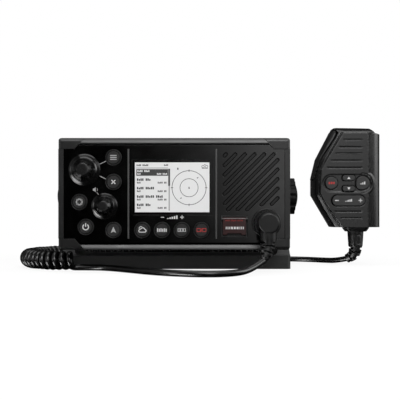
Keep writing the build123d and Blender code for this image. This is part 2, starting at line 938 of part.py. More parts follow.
def tapered_boot(route, next_point, radii, rib_from, rib_count):
    """A round boot down a smooth line that ends heading for next_point, with flexing rings."""
    leaving = Vector(*next_point) - Vector(*route[-1])
    with BuildLine(mode=Mode.PRIVATE) as line:
        Spline(*route, tangents=[(0, 0, -1), leaving])
    path = line.edges()[0]
    sections = []
    for index, radius in enumerate(radii):
        share = index / (len(radii) - 1)
        with BuildSketch(Plane(origin=path @ share, z_dir=path % share)) as section:
            Circle(radius)
        sections.append(section.sketch)
    loft(sections)
    for index in range(rib_count):
        share = rib_from + (0.9 - rib_from) * index / (rib_count - 1)
        place = share * (len(radii) - 1)
        lower = min(int(place), len(radii) - 2)
        radius = radii[lower] + (radii[lower + 1] - radii[lower]) * (place - lower)
        with BuildSketch(Plane(origin=path @ share, z_dir=path % share)) as rib:
            Circle(radius + boot_rib_proud)
        extrude(rib.sketch, amount=boot_rib_thickness / 2, both=True)


def cord_tube(name, route, radius):
    """A round tube of straight runs joined by tangent arcs."""
    radii = bend_radii(route)
    start = Vector(*route[0])
    with BuildPart() as tube:
        with BuildLine() as line:
            FilletPolyline(*route, radius=radii)
        with BuildSketch(Plane(origin=start, z_dir=Vector(*route[1]) - start)):
            Circle(radius)
        sweep()
    length = line.wires()[0].length
    expected = math.pi * radius**2 * length
    print(name, "bend radii", [round(value, 1) for value in radii], "length", round(length, 1))
    print(name, "volume over section times length", round(tube.part.volume / expected, 4))
    save(tube, name)


plug_boot_top = (socket_x, neck_y, plug_neck_z)
with BuildPart() as plug_boot:
    tapered_boot(
        [
            plug_boot_top,
            (socket_x - 0.9, neck_y - 0.8, 19.2),
            plug_boot_tip,
        ],
        front_tail_route[1],
        [plug_boot_start_radius, 5.2, 4.5, 3.8, plug_boot_tip_radius],
        0.12,
        6,
    )
save(plug_boot, "plug_boot")

collar_bottom_z = mic_z - mic_collar_height
with BuildPart() as mic_boot:
    with BuildSketch(Plane.XY.offset(mic_z - seam)):
        with Locations((mic_boot_x, mic_boot_y)):
            RectangleRounded(mic_collar_width, mic_collar_depth, 4)
    extrude(amount=-(mic_collar_height - seam), taper=20)
    with BuildSketch(Plane.XY.offset(collar_bottom_z)):
        with Locations((mic_boot_x, mic_boot_y)):
            Circle(mic_boot_start_radius)
    with BuildSketch(Plane.XY.offset(collar_bottom_z - mic_boot_barrel)):
        with Locations((mic_boot_x, mic_boot_y)):
            Circle(mic_boot_neck_radius)
    loft()
    tapered_boot(
        [
            (mic_boot_x, mic_boot_y, collar_bottom_z - mic_boot_barrel),
            (mic_boot_x - 1.6, mic_boot_y + 0.7, 10.6),
            mic_boot_tip,
        ],
        rear_tail_route[-2],
        [mic_boot_neck_radius - 0.8, 5.3, 4.9, 4.3, mic_boot_tip_radius],
        0.15,
        4,
    )
save(mic_boot, "mic_boot")

cord_tube("cord_front_tail", front_tail_route, cord_radius)
cord_tube("cord_coil", coil_route, coil_radius)
cord_tube("cord_rear_tail", rear_tail_route, cord_radius)

# ---------------------------------------------------------------- gasket and rear chassis
gasket_outer_width = panel_width - 2 * flange_inset - 2 * gasket_inset
gasket_outer_height = panel_height - 2 * flange_inset - 2 * gasket_inset
with BuildPart() as front_gasket:
    square_bar(
        (0, panel_centre_z), gasket_outer_width, gasket_outer_height, panel_back_y, flange_front_y
    )
    square_bar(
        (0, panel_centre_z),
        gasket_outer_width - 2 * gasket_width,
        gasket_outer_height - 2 * gasket_width,
        panel_back_y,
        flange_front_y,
        Mode.SUBTRACT,
    )
save(front_gasket, "front_gasket")

boss_outer_x = arm_inner_x - washer_thickness - 2 * face_gap
stud_tip_x = boss_outer_x - stud_depth
with BuildPart() as rear_chassis:
    with BuildSketch(facing_front(flange_back_y)):
        with Locations((0, panel_centre_z)):
            RectangleRounded(
                panel_width - 2 * flange_inset, panel_height - 2 * flange_inset, panel_corner
            )
    extrude(amount=flange_thickness)
    with BuildSketch(facing_front(chassis_back_y)):
        with Locations((0, panel_centre_z)):
            RectangleRounded(chassis_width, chassis_height, chassis_corner)
    extrude(amount=chassis_back_y - flange_front_y)
    square_bar(
        (0, panel_centre_z),
        chassis_width - 2 * chassis_wall,
        chassis_height - 2 * chassis_wall,
        flange_front_y,
        chassis_back_y - chassis_wall,
        Mode.SUBTRACT,
    )
    # heat-sink fins across the upper back
    with BuildSketch(facing_front(chassis_back_y + fin_depth)):
        with Locations((0, chassis_top - fin_top_gap - fin_height / 2)):
            with GridLocations(fin_pitch, 1, fin_count, 1):
                Rectangle(fin_thickness, fin_height)
    extrude(amount=fin_depth)
    # pivot bosses, outside and inside the side walls
    for side in (-1, 1):
        side_bar(boss_radius, side * (chassis_half - chassis_wall / 2), side * boss_outer_x)
        side_bar(
            boss_inner_radius,
            side * (boss_outer_x - stud_depth - chassis_wall),
            side * (chassis_half - chassis_wall / 2),
        )
        side_bar(
            stud_radius + running_fit,
            side * (stud_tip_x - face_gap),
            side * boss_outer_x,
            Mode.SUBTRACT,
        )
    for place in case_screws:
        round_bar(
            place, case_screw_radius + seam, flange_front_y, flange_back_y, Mode.SUBTRACT
        )
        round_bar(
            place,
            case_screw_head_radius + seam,
            flange_back_y - case_screw_head,
            flange_back_y,
            Mode.SUBTRACT,
        )
    # standoffs that carry the transmitter board
    with BuildSketch(Plane.XY.offset(chassis_bottom + chassis_wall / 2)):
        with Locations((0, transmitter_board_y)):
            with GridLocations(
                transmitter_board_width - 4 * standoff_radius,
                transmitter_board_length - 4 * standoff_radius,
                2,
                2,
            ):
                Circle(standoff_radius)
    extrude(amount=transmitter_board_z - chassis_bottom - chassis_wall / 2)
    round_bar(
        (antenna_socket_x, rear_socket_z),
        antenna_bore_radius,
        chassis_back_y - chassis_wall,
        chassis_back_y,
        Mode.SUBTRACT,
    )
save(rear_chassis, "rear_chassis")

case_screw_head_y = flange_back_y - case_screw_head
with BuildPart() as case_screw_set:
    for place in case_screws:
        round_bar(
            place, case_screw_radius, case_screw_head_y - case_screw_length, case_screw_head_y
        )
        round_bar(place, case_screw_head_radius, case_screw_head_y, flange_back_y)
        round_bar(
            place,
            case_screw_radius / 2,
            flange_back_y - case_screw_head / 2,
            flange_back_y,
            Mode.SUBTRACT,
        )
save(case_screw_set, "case_screws")

# ---------------------------------------------------------------- sockets on the back
with BuildPart() as rear_sockets:
    antenna_at = (antenna_socket_x, rear_socket_z)
    antenna_end_y = chassis_back_y + antenna_plate_thickness + antenna_thread_length
    square_bar(
        antenna_at,
        antenna_plate,
        antenna_plate,
        chassis_back_y,
        chassis_back_y + antenna_plate_thickness,
    )
    round_bar(antenna_at, antenna_thread_radius, chassis_back_y, antenna_end_y)
    round_bar(
        antenna_at,
        antenna_bore_radius,
        antenna_end_y - antenna_bore_depth,
        antenna_end_y,
        Mode.SUBTRACT,
    )
    round_bar(
        antenna_at, antenna_pin_radius, antenna_end_y - antenna_bore_depth, antenna_end_y - slip
    )
    for socket_at_x, radius, reach in (
        (data_socket_x, data_socket_radius, data_socket_length),
        (position_socket_x, position_socket_radius, position_socket_length),
    ):
        place = (socket_at_x, rear_socket_z)
        with BuildSketch(facing_front(chassis_back_y + small_socket_flange)):
            with Locations(place):
                RegularPolygon(radius + small_socket_flange, 6)
        extrude(amount=small_socket_flange)
        round_bar(place, radius, chassis_back_y, chassis_back_y + reach)
        round_bar(
            place,
            radius - small_socket_flange / 2,
            chassis_back_y + reach / 2,
            chassis_back_y + reach,
            Mode.SUBTRACT,
        )
        round_bar(
            place,
            radius / 2 - slip,
            chassis_back_y + reach / 2,
            chassis_back_y + reach - small_socket_flange / 2,
        )
save(rear_sockets, "rear_sockets")

with BuildPart() as power_gland:
    gland_at = (gland_x, rear_socket_z)
    gland_end_y = chassis_back_y + gland_length
    with BuildSketch(facing_front(chassis_back_y + gland_nut)):
        with Locations(gland_at):
            RegularPolygon(gland_radius + small_socket_flange / 2, 6)
    extrude(amount=gland_nut)
    turned(
        [
            (0, chassis_back_y + gland_nut),
            (gland_radius, chassis_back_y + gland_nut),
            (gland_tip_radius, gland_end_y),
            (0, gland_end_y),
        ],
        gland_at,
    )
    round_bar(gland_at, cord_radius, chassis_back_y + gland_nut, gland_end_y, Mode.SUBTRACT)
save(power_gland, "power_gland")

# ---------------------------------------------------------------- gimbal bracket
arm_outer_foot = arm_inner_x + arm_foot_thickness
arm_outer_top = arm_inner_x + arm_top_thickness
base_front = -base_length / 2
base_back = base_length / 2
with BuildPart() as gimbal_bracket:
    with BuildSketch(Plane.XY):
        RectangleRounded(2 * arm_outer_foot, base_length, base_corner)
    extrude(amount=base_height)
    pocket_width = (2 * arm_outer_foot - 2 * base_rim + rib_thickness) / pockets_across
    pocket_length = (base_length - 2 * base_rim + rib_thickness) / pockets_deep
    with BuildSketch(Plane.XY):
        with GridLocations(pocket_width, pocket_length, pockets_across, pockets_deep):
            Rectangle(pocket_width - rib_thickness, pocket_length - rib_thickness)
    extrude(amount=base_height - base_top_wall, mode=Mode.SUBTRACT)
    with BuildSketch(Plane.XY):
        with GridLocations(2 * base_screw_x, 2 * base_screw_y, 2, 2):
            Circle(base_boss_radius)
    extrude(amount=base_height)
    # each arm: a leaning plate with a round end about the pivot, thinner towards the top
    for side in (-1, 1):
        with BuildSketch(facing_right(side * arm_inner_x)):
            with BuildLine():
                Polyline(
                    (base_front + base_corner, base_height - base_top_wall),
                    (base_back, base_height - base_top_wall),
                    (pivot_y + arm_end_radius, pivot_z - arm_end_radius / 2),
                    (pivot_y + arm_end_radius, pivot_z),
                    (pivot_y - arm_end_radius, pivot_z),
                    close=True,
                )
            make_face()
            with Locations((pivot_y, pivot_z)):
                Circle(arm_end_radius)
        extrude(amount=side * arm_foot_thickness)
    with BuildSketch(Plane.XZ.offset(base_front)):
        for side in (-1, 1):
            with BuildLine():
                Polyline(
                    (side * arm_outer_foot, base_height),
                    (side * (arm_outer_foot + arm_foot_thickness), base_height),
                    (side * (arm_outer_foot + arm_foot_thickness), pivot_z + 2 * arm_end_radius),
                    (side * arm_outer_top, pivot_z + 2 * arm_end_radius),
                    (side * arm_outer_top, pivot_z - arm_end_radius),
                    close=True,
                )
            make_face()
    extrude(amount=-2 * base_length, both=True, mode=Mode.SUBTRACT)
    inner_corners = (
        gimbal_bracket.edges()
        .filter_by(Axis.Y)
        .filter_by(lambda edge: abs(abs(edge.center().X) - arm_inner_x) < slip)
        .filter_by(lambda edge: abs(edge.center().Z - base_height) < slip)
    )
    fillet(inner_corners, arm_fillet)
    for side in (-1, 1):
        side_bar(
            stud_radius + running_fit, side * (arm_inner_x - 1), side * arm_outer_foot, Mode.SUBTRACT
        )
    with BuildSketch(Plane.XY):
        with GridLocations(2 * base_screw_x, 2 * base_screw_y, 2, 2):
            Circle(base_screw_radius)
    extrude(amount=base_height, mode=Mode.SUBTRACT)
save(gimbal_bracket, "gimbal_bracket")

# ---------------------------------------------------------------- clamp knobs, studs and washers
with BuildPart() as tilt_washers:
    for side in (-1, 1):
        washer_in = side * (boss_outer_x + face_gap / 2)
        washer_out = side * (boss_outer_x + face_gap / 2 + washer_thickness)
        side_bar(washer_radius, washer_in, washer_out)
        side_bar(stud_radius + running_fit, washer_in, washer_out, Mode.SUBTRACT)
save(tilt_washers, "tilt_washers")

rim_end = knob_rim_start + knob_rim_width
for side, name in ((-1, "left"), (1, "right")):
    with BuildPart() as clamp_knob:
        side_bar(knob_hub_radius, side * (arm_outer_top + face_gap), side * rim_end)
        side_bar(knob_rim_radius, side * knob_rim_start, side * rim_end)
        with BuildSketch(facing_right(side * (knob_rim_start - 1))):
            with Locations((pivot_y, pivot_z)):
                with PolarLocations(knob_rim_radius + knob_lobe_radius / 2, knob_lobe_count):
                    Circle(knob_lobe_radius)
        extrude(amount=side * (knob_rim_width + 2), mode=Mode.SUBTRACT)
        # domed outer face
        with BuildSketch(Plane(origin=(0, pivot_y, pivot_z), x_dir=(1, 0, 0), z_dir=(0, -1, 0))):
            with BuildLine():
                Line((side * rim_end, 0), (side * (rim_end + knob_dome), 0))
                ThreePointArc(
                    (side * (rim_end + knob_dome), 0),
                    (side * (rim_end + 0.72 * knob_dome), 0.56 * (knob_rim_radius - knob_dome)),
                    (side * rim_end, knob_rim_radius - knob_dome),
                )
                Line((side * rim_end, knob_rim_radius - knob_dome), (side * rim_end, 0))
            make_face()
        revolve(axis=Axis((0, pivot_y, pivot_z), (1, 0, 0)))
        side_bar(
            stud_radius + running_fit,
            side * (arm_outer_top + face_gap),
            side * (rim_end - stud_roof),
            Mode.SUBTRACT,
        )
    save(clamp_knob, f"{name}_clamp_knob")

    with BuildPart() as clamp_stud:
        side_bar(stud_radius, side * stud_tip_x, side * (rim_end - stud_roof - face_gap))
        chamfer(clamp_stud.edges().filter_by(GeomType.CIRCLE), key_bevel)
    save(clamp_stud, f"{name}_clamp_stud")

# ---------------------------------------------------------------- handset
mic_split_y = mic_front_y + mic_split
mic_back_y = mic_front_y + mic_depth
mic_outline = [
    (-8.4, mic_height),
    (23.0, 89.2),
    (mic_right, 84.0),
    (mic_right, 0),
    (-10.2, 0),
    (-mic_left, 29.0),
    (-mic_left, 43.2),
    (-22.9, 62.1),
]
mic_face = [
    (-1.0, mic_face_top),
    (mic_face_right - 3, mic_face_top),
    (mic_face_right, mic_face_top - 2.6),
    (mic_face_right, 0),
    (-1.9, 0),
    (-mic_face_left, 30.3),
    (-mic_face_left + 0.3, 41.0),
    (-mic_face_left + 0.9, 51.6),
]
ptt_outline = [
    (-9.6, 87.6),
    (-22.9, 62.1),
    (-mic_left, 43.8),
    (-24.6, 42.6),
    (-20.9, 59.4),
    (-3.4, 77.2),
    (1.4, 83.6),
]
mic_posts = [(-4.0, 8.0), (24.5, 8.0), (24.5, 78.0), (-16.5, 44.0)]


def mic_plane(y):
    """The handset's own plane at one depth, with its origin at the foot of the shell."""
    return Plane(origin=(mic_x, y, mic_z), x_dir=(1, 0, 0), z_dir=(0, -1, 0))


def mic_bar(centre, radius, front_y, back_y, mode=Mode.ADD):
    """A round bar along Y, placed in the handset's own frame."""
    round_bar((mic_x + centre[0], mic_z + centre[1]), radius, front_y, back_y, mode)


def mic_section(outline, y, inset=0.0):
    """A closed outline of the handset at one depth, drawn in by inset."""
    with BuildSketch(mic_plane(y)) as section:
        with BuildLine():
            Polyline(*outline, close=True)
        make_face()
        if inset > 0:
            offset(amount=-inset, kind=Kind.INTERSECTION)
    return section.sketch


def front_form(wall):
    """The handset's front half, or with a wall the hollow inside it."""
    with BuildPart() as form:
        shoulder_y = mic_front_y + mic_bevel_depth
        extrude(mic_section(mic_outline, mic_split_y, wall), amount=mic_split_y - shoulder_y)
        loft(
            [
                mic_section(mic_outline, shoulder_y, wall),
                mic_section(mic_face, mic_front_y + wall, wall),
            ],
            ruled=True,
        )
        if wall == 0:
            mic_bar((strength_key_x, mic_key_row), strength_bulge, mic_front_y, shoulder_y)
    return form.part


def back_form(wall):
    """The handset's rear half, or with a wall the hollow inside it."""
    with BuildPart() as form:
        shoulder_y = mic_back_y - mic_back_bevel
        extrude(mic_section(mic_outline, shoulder_y, wall), amount=shoulder_y - mic_split_y)
        loft(
            [
                mic_section(mic_outline, shoulder_y, wall),
                mic_section(mic_outline, mic_back_y - wall, wall + mic_back_inset),
            ],
            ruled=True,
        )
    return form.part


def pressed(point, share):
    """A point of the push-to-talk lever at a share of its full press."""
    turn = math.radians(-ptt_angle * share)
    across = point[0] - ptt_pivot[0]
    up = point[1] - ptt_pivot[1]
    return (
        ptt_pivot[0] + across * math.cos(turn) + up * math.sin(turn),
        ptt_pivot[1] - across * math.sin(turn) + up * math.cos(turn),
    )


ptt_front_y = mic_front_y + ptt_side_wall + ptt_side_gap
ptt_back_y = mic_back_y - ptt_side_wall - ptt_side_gap


def ptt_window(front_y, back_y):
    """Cut away the room that the lever needs, at rest and pressed."""
    with BuildSketch(mic_plane(back_y)) as room:
        for step in range(ptt_sweep_steps + 1):
            share = step / ptt_sweep_steps
            with BuildLine():
                Polyline(*[pressed(point, share) for point in ptt_outline], close=True)
            make_face()
        with Locations(ptt_pivot):
            Circle(ptt_lug_radius)
        offset(amount=slip, kind=Kind.INTERSECTION)
    extrude(room.sketch, amount=back_y - front_y, mode=Mode.SUBTRACT)


mic_lip_front = mic_front_y + mic_wall + mic_key_y_play
mic_lip_back = mic_lip_front + key_lip_thickness
mic_board_front = mic_lip_back + rocker_travel + slip
front_outer = front_form(0)
front_hollow = front_form(mic_wall)
with BuildPart() as mic_front_shell:
    add(front_outer)
    add(front_hollow, mode=Mode.SUBTRACT)
    for place in mic_posts:
        mic_bar(place, mic_post_radius, mic_front_y + mic_wall / 2, mic_split_y)
    add(front_outer, mode=Mode.INTERSECT)
    # room behind the wall for the lips of the keys
    for place, radius in (
        ((priority_key_x, mic_key_row), priority_key_radius),
        ((strength_key_x, mic_key_row), strength_key_radius),
    ):
        mic_bar(
            place, radius + mic_recess, mic_front_y, mic_front_y + mic_recess_depth, Mode.SUBTRACT
        )
        mic_bar(place, radius + slip, mic_front_y, mic_split_y, Mode.SUBTRACT)
        mic_bar(
            place,
            radius + mic_key_lip + slip,
            mic_front_y + mic_wall,
            mic_board_front + mic_board_thickness,
            Mode.SUBTRACT,
        )
    with BuildSketch(mic_plane(mic_split_y)):
        with Locations((step_key_x, step_key_up_z), (step_key_x, step_key_down_z)):
            SlotOverall(step_key_width + 2 * slip, step_key_height + 2 * slip)
        with Locations((rocker_x, rocker_z)):
            SlotOverall(rocker_width + 2 * slip, rocker_height + 2 * slip)
    extrude(amount=mic_split, mode=Mode.SUBTRACT)
    with BuildSketch(mic_plane(mic_front_y + mic_slot_depth)):
        for index in range(mic_slot_count):
            slot_left = mic_slot_left - index * mic_slot_step
            slot_run = mic_slot_right - slot_left
            slot_z = mic_slot_top - index * mic_slot_pitch
            with Locations((slot_left + slot_run / 2, slot_z)):
                SlotOverall(slot_run, mic_slot_width)
        for index in range(mic_low_slot_count):
            slot_left = mic_low_slot_left + index * mic_low_slot_step
            slot_run = mic_slot_right - slot_left
            with Locations((slot_left + slot_run / 2, mic_low_slot_z - index * mic_slot_pitch)):
                SlotOverall(slot_run, mic_slot_width)
    extrude(amount=mic_slot_depth, mode=Mode.SUBTRACT)
    for place in mic_posts:
        mic_bar(
            place,
            mic_screw_radius + running_fit,
            mic_back_y - mic_screw_head - mic_screw_length - face_gap,
            mic_split_y,
            Mode.SUBTRACT,
        )
    ptt_window(ptt_front_y - ptt_side_gap, mic_split_y)
    mic_bar(
        ptt_pivot,
        ptt_pin_radius + running_fit,
        ptt_front_y - ptt_pin_length - face_gap,
        ptt_front_y,
        Mode.SUBTRACT,
    )
save(mic_front_shell, "mic_front_shell")

back_outer = back_form(0)
back_hollow = back_form(mic_wall)
with BuildPart() as mic_rear_shell:
    add(back_outer)
    add(back_hollow, mode=Mode.SUBTRACT)
    for place in mic_posts:
        mic_bar(place, mic_post_radius, mic_split_y + face_gap, mic_back_y - mic_wall / 2)
    add(back_outer, mode=Mode.INTERSECT)
    for place in mic_posts:
        mic_bar(place, mic_screw_radius + seam, mic_split_y, mic_back_y, Mode.SUBTRACT)
        mic_bar(
            place,
            mic_screw_head_radius + seam,
            mic_back_y - mic_screw_head,
            mic_back_y,
            Mode.SUBTRACT,
        )
    # button that hangs the handset in a clip
    mic_bar(
        (0, hang_stud_z), hang_stud_radius, mic_back_y - mic_wall / 2, mic_back_y + hang_stud_length
    )
    mic_bar(
        (0, hang_stud_z),
        hang_cap_radius,
        mic_back_y + hang_stud_length - hang_cap_thickness,
        mic_back_y + hang_stud_length,
    )
    ptt_window(mic_split_y, ptt_back_y + ptt_side_gap)
    mic_bar(
        ptt_pivot,
        ptt_pin_radius + running_fit,
        ptt_back_y,
        ptt_back_y + ptt_pin_length + face_gap,
        Mode.SUBTRACT,
    )
save(mic_rear_shell, "mic_rear_shell")

with BuildPart() as mic_screws:
    head_front_y = mic_back_y - mic_screw_head
    for place in mic_posts:
        mic_bar(place, mic_screw_radius, head_front_y - mic_screw_length, head_front_y)
        mic_bar(place, mic_screw_head_radius, head_front_y, mic_back_y)
        mic_bar(
            place,
            mic_screw_radius / 2,
            mic_back_y - mic_screw_head / 2,
            mic_back_y,
            Mode.SUBTRACT,
        )
save(mic_screws, "mic_screws")

with BuildPart() as ptt_lever:
    with BuildSketch(mic_plane(ptt_back_y)):
        with BuildLine():
            Polyline(*ptt_outline, close=True)
        make_face()
        with Locations(ptt_pivot):
            Circle(ptt_lug_radius)
    extrude(amount=ptt_back_y - ptt_front_y)
    mic_bar(
        ptt_pivot, ptt_pin_radius, ptt_front_y - ptt_pin_length, ptt_back_y + ptt_pin_length
    )
save(ptt_lever, "ptt_lever")

mic_key_front = mic_front_y - mic_key_proud
for name, place, radius in (
    ("mic_priority_key", (priority_key_x, mic_key_row), priority_key_radius),
    ("mic_power_key", (strength_key_x, mic_key_row), strength_key_radius),
):
    with BuildPart() as mic_key:
        turned(
            [
                (0, mic_key_front),
                (radius - 2 * key_bevel, mic_key_front),
                (radius, mic_key_front + 2 * key_bevel),
                (radius, mic_lip_front),
                (radius + mic_key_lip, mic_lip_front),
                (radius + mic_key_lip, mic_lip_back),
                (0, mic_lip_back),
            ],
            (mic_x + place[0], mic_z + place[1]),
        )
    save(mic_key, name)

for name, key_z in (("mic_up_key", step_key_up_z), ("mic_down_key", step_key_down_z)):
    with BuildPart() as mic_key:
        with BuildSketch(mic_plane(mic_lip_back)):
            with Locations((step_key_x, key_z)):
                SlotOverall(step_key_width + 2 * mic_key_lip, step_key_height + 2 * mic_key_lip)
        extrude(amount=mic_lip_back - mic_lip_front)
        with BuildSketch(mic_plane(mic_lip_front)):
            with Locations((step_key_x, key_z)):
                SlotOverall(step_key_width, step_key_height)
        extrude(amount=mic_lip_front - mic_key_front)
        chamfer(mic_key.faces().sort_by(Axis.Y)[0].edges(), key_bevel)
    save(mic_key, name)

rocker_back_y = mic_board_front - rocker_travel
with BuildPart() as mic_volume_rocker:
    with BuildSketch(mic_plane(rocker_back_y)):
        with Locations((rocker_x, rocker_z)):
            SlotOverall(rocker_width, rocker_height)
    extrude(amount=rocker_back_y - mic_key_front)
    chamfer(mic_volume_rocker.faces().sort_by(Axis.Y)[0].edges(), key_bevel)
save(mic_volume_rocker, "mic_volume_rocker")

with BuildPart() as mic_board:
    mic_board_back = mic_board_front + mic_board_thickness
    extrude(mic_section(mic_face, mic_board_back, mic_wall + slip), amount=mic_board_thickness)
    square_bar(
        (mic_x, mic_z + (mic_board_top + mic_board_bottom) / 2),
        mic_left + mic_right,
        mic_board_top - mic_board_bottom,
        mic_board_front,
        mic_board_back,
        Mode.INTERSECT,
    )
    for place in mic_posts:
        mic_bar(place, mic_post_radius + seam, mic_board_front, mic_board_back, Mode.SUBTRACT)
save(mic_board, "mic_board")
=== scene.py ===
# %% [markdown]
# # A marine radio with a handset on a curly cord
# The radio hangs between the arms of a tilting bracket. A right-angle plug on its face carries a
# curly cord, which lies on the table, passes behind the radio and ends in a fist microphone.
# The measured parts come from the CAD model and stay where they are. This script gives them their
# finishes and adds what CAD leaves plain: the wound cord, the picture on the display, the printed
# marks, and the shaped rails, knobs, boots and handset.

# %% Load the measured parts
import math
import bpy
import numpy as np
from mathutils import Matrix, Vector


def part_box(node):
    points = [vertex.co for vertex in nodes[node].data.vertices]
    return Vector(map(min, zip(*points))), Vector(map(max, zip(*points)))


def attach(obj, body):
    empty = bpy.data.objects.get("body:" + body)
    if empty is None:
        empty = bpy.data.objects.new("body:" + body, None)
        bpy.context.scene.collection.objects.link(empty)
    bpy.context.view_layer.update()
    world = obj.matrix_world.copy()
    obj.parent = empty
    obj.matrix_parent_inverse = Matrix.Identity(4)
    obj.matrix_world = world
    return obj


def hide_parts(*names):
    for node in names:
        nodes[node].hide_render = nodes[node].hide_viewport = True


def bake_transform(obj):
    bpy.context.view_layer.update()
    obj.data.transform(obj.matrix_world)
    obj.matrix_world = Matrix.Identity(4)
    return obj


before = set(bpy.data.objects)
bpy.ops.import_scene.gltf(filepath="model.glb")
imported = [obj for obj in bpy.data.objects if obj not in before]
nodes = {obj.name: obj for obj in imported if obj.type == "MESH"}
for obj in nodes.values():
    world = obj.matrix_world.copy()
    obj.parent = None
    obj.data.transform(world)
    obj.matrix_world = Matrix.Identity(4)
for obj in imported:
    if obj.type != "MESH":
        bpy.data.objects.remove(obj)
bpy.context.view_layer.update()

mm = 0.001

# %% [markdown]
# ## Meshes from arrays
# A closed form can be modelled by hand, with modifiers, or worked out. Here each new piece is
# worked out, because its measures are known: it is a grid of points, whose rows run along it and
# whose columns run round it. One function turns a grid into faces, and another turns the form
# right side out by the sign of its volume.

# %% Faces, volume and the mesh object
def held(values):
    """Values held between 0 and 1."""
    return np.clip(values, 0, 1)


def grid_faces(rows, columns, wrap_rows=False):
    """Each face joins a point to the next one along its row, then to the two beside them on the next row."""
    i = np.arange(rows if wrap_rows else rows - 1)[:, None]
    j = np.arange(columns)[None, :]
    ahead = (i + 1) % rows
    beside = (j + 1) % columns
    corners = [i * columns + j, i * columns + beside, ahead * columns + beside, ahead * columns + j]
    return np.stack(np.broadcast_arrays(*corners), -1).reshape(-1, 4)


def volume(points, faces):
    """The sum of a . (b x c) / 6 over each face's fan of triangles, positive where faces point out."""
    total = 0.0
    for group in faces:
        a = points[group[:, :1]]
        b = points[group[:, 1:-1]]
        c = points[group[:, 2:]]
        total += float((a * np.cross(b, c)).sum()) / 6
    return total


def shell(rings, ends=True, wrap_rows=False):
    """A closed form from rings of points: quads between rings, and a flat cap at each end."""
    rows, columns = rings.shape[:2]
    points = rings.reshape(-1, 3)
    faces = [grid_faces(rows, columns, wrap_rows)]
    if ends:
        first = np.arange(columns)[None, ::-1]
        faces += [first, first[:, ::-1] + (rows - 1) * columns]
    if volume(points - points.mean(0), faces) < 0:
        faces = [group[:, ::-1] for group in faces]
    return points, faces


def placed(name, data):
    """A new object in the scene."""
    made = bpy.data.objects.new(name, data)
    bpy.context.scene.collection.objects.link(made)
    return made


def make(name, shells, slot, body=None, look=None, sharp=40):
    """One object from several closed forms. Its finish is its slot's, or a look of its own."""
    points, rows = [], []
    for more, faces in shells:
        for group in faces:
            rows += (group + len(points)).tolist()
        points += more.tolist()
    mesh = bpy.data.meshes.new(name)
    mesh.from_pydata(points, [], rows)
    mesh.polygons.foreach_set("use_smooth", [True] * len(rows))
    mesh.set_sharp_from_angle(angle=math.radians(sharp))
    mesh.materials.append(look or finishes[slot])
    made = placed(name, mesh)
    if body:
        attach(made, body)
    print(name, "has", len(rows), "faces")
    return made


# %% [markdown]
# ## Lines that a cord follows
# A cord is soft, so its line is a NURBS spline: the few points of its route pull the line towards
# them, and it runs smoothly between them. Blender works out the line, whose points are read back
# and set at equal steps.

# %% Splines and tubes
def smooth_line(points):
    """The line of a third-order NURBS spline that starts and ends at the first and last point."""
    curve = bpy.data.curves.new("line", "CURVE")
    curve.dimensions = "3D"
    curve.resolution_u = 48
    spline = curve.splines.new("NURBS")
    spline.points.add(len(points) - 1)
    spline.points.foreach_set("co", np.insert(points, 3, 1.0, axis=1).ravel())
    spline.order_u = 3
    spline.use_endpoint_u = True
    holder = bpy.data.objects.new("line", curve)
    mesh = bpy.data.meshes.new_from_object(holder)
    line = np.empty(len(mesh.vertices) * 3)
    mesh.vertices.foreach_get("co", line)
    bpy.data.objects.remove(holder)
    bpy.data.curves.remove(curve)
    bpy.data.meshes.remove(mesh)
    return line.reshape(-1, 3)


def travelled(line):
    """Distance along a line at each of its points."""
    steps = np.linalg.norm(np.diff(line, axis=0), axis=1)
    return np.concatenate([[0.0], np.cumsum(steps)])


def at_distances(line, wanted):
    """The points of a line at these distances along it."""
    far = travelled(line)
    return np.stack([np.interp(wanted, far, line[:, axis]) for axis in range(3)], 1)


def even_line(points, step):
    """A smooth line by these points, at even steps of about this length."""
    line = smooth_line(points)
    length = travelled(line)[-1]
    return at_distances(line, np.linspace(0, length, round(length / step) + 1))


def full_turn(sides):
    """Even angles all the way round."""
    return np.arange(sides) * 2 * math.pi / sides


def unit(vectors):
    """The same directions at length one."""
    return vectors / np.linalg.norm(vectors, axis=-1, keepdims=True)


def tube(path, radii, outward, sides):
    """Rings round a path: centre + radius (cos a across + sin a up).

    Up is the outward direction less its part along the path. Outward is one for all or one for each
    place, and the radius is one for all or one for each place and angle.
    """
    along = unit(np.gradient(path, axis=0))
    up = unit(outward - (outward * along).sum(1, keepdims=True) * along)
    across = np.cross(along, up)
    angle = full_turn(sides)
    spokes = np.cos(angle)[None, :, None] * across[:, None] + np.sin(angle)[None, :, None] * up[:, None]
    return path[:, None] + np.asarray(radii)[..., None] * spokes


# %% [markdown]
# ## Finishes written as formulas
# Cycles reads a material as nodes. To write them as formulas, a small class holds one output
# socket: sums and products of it add Math nodes, and one method adds any other node.

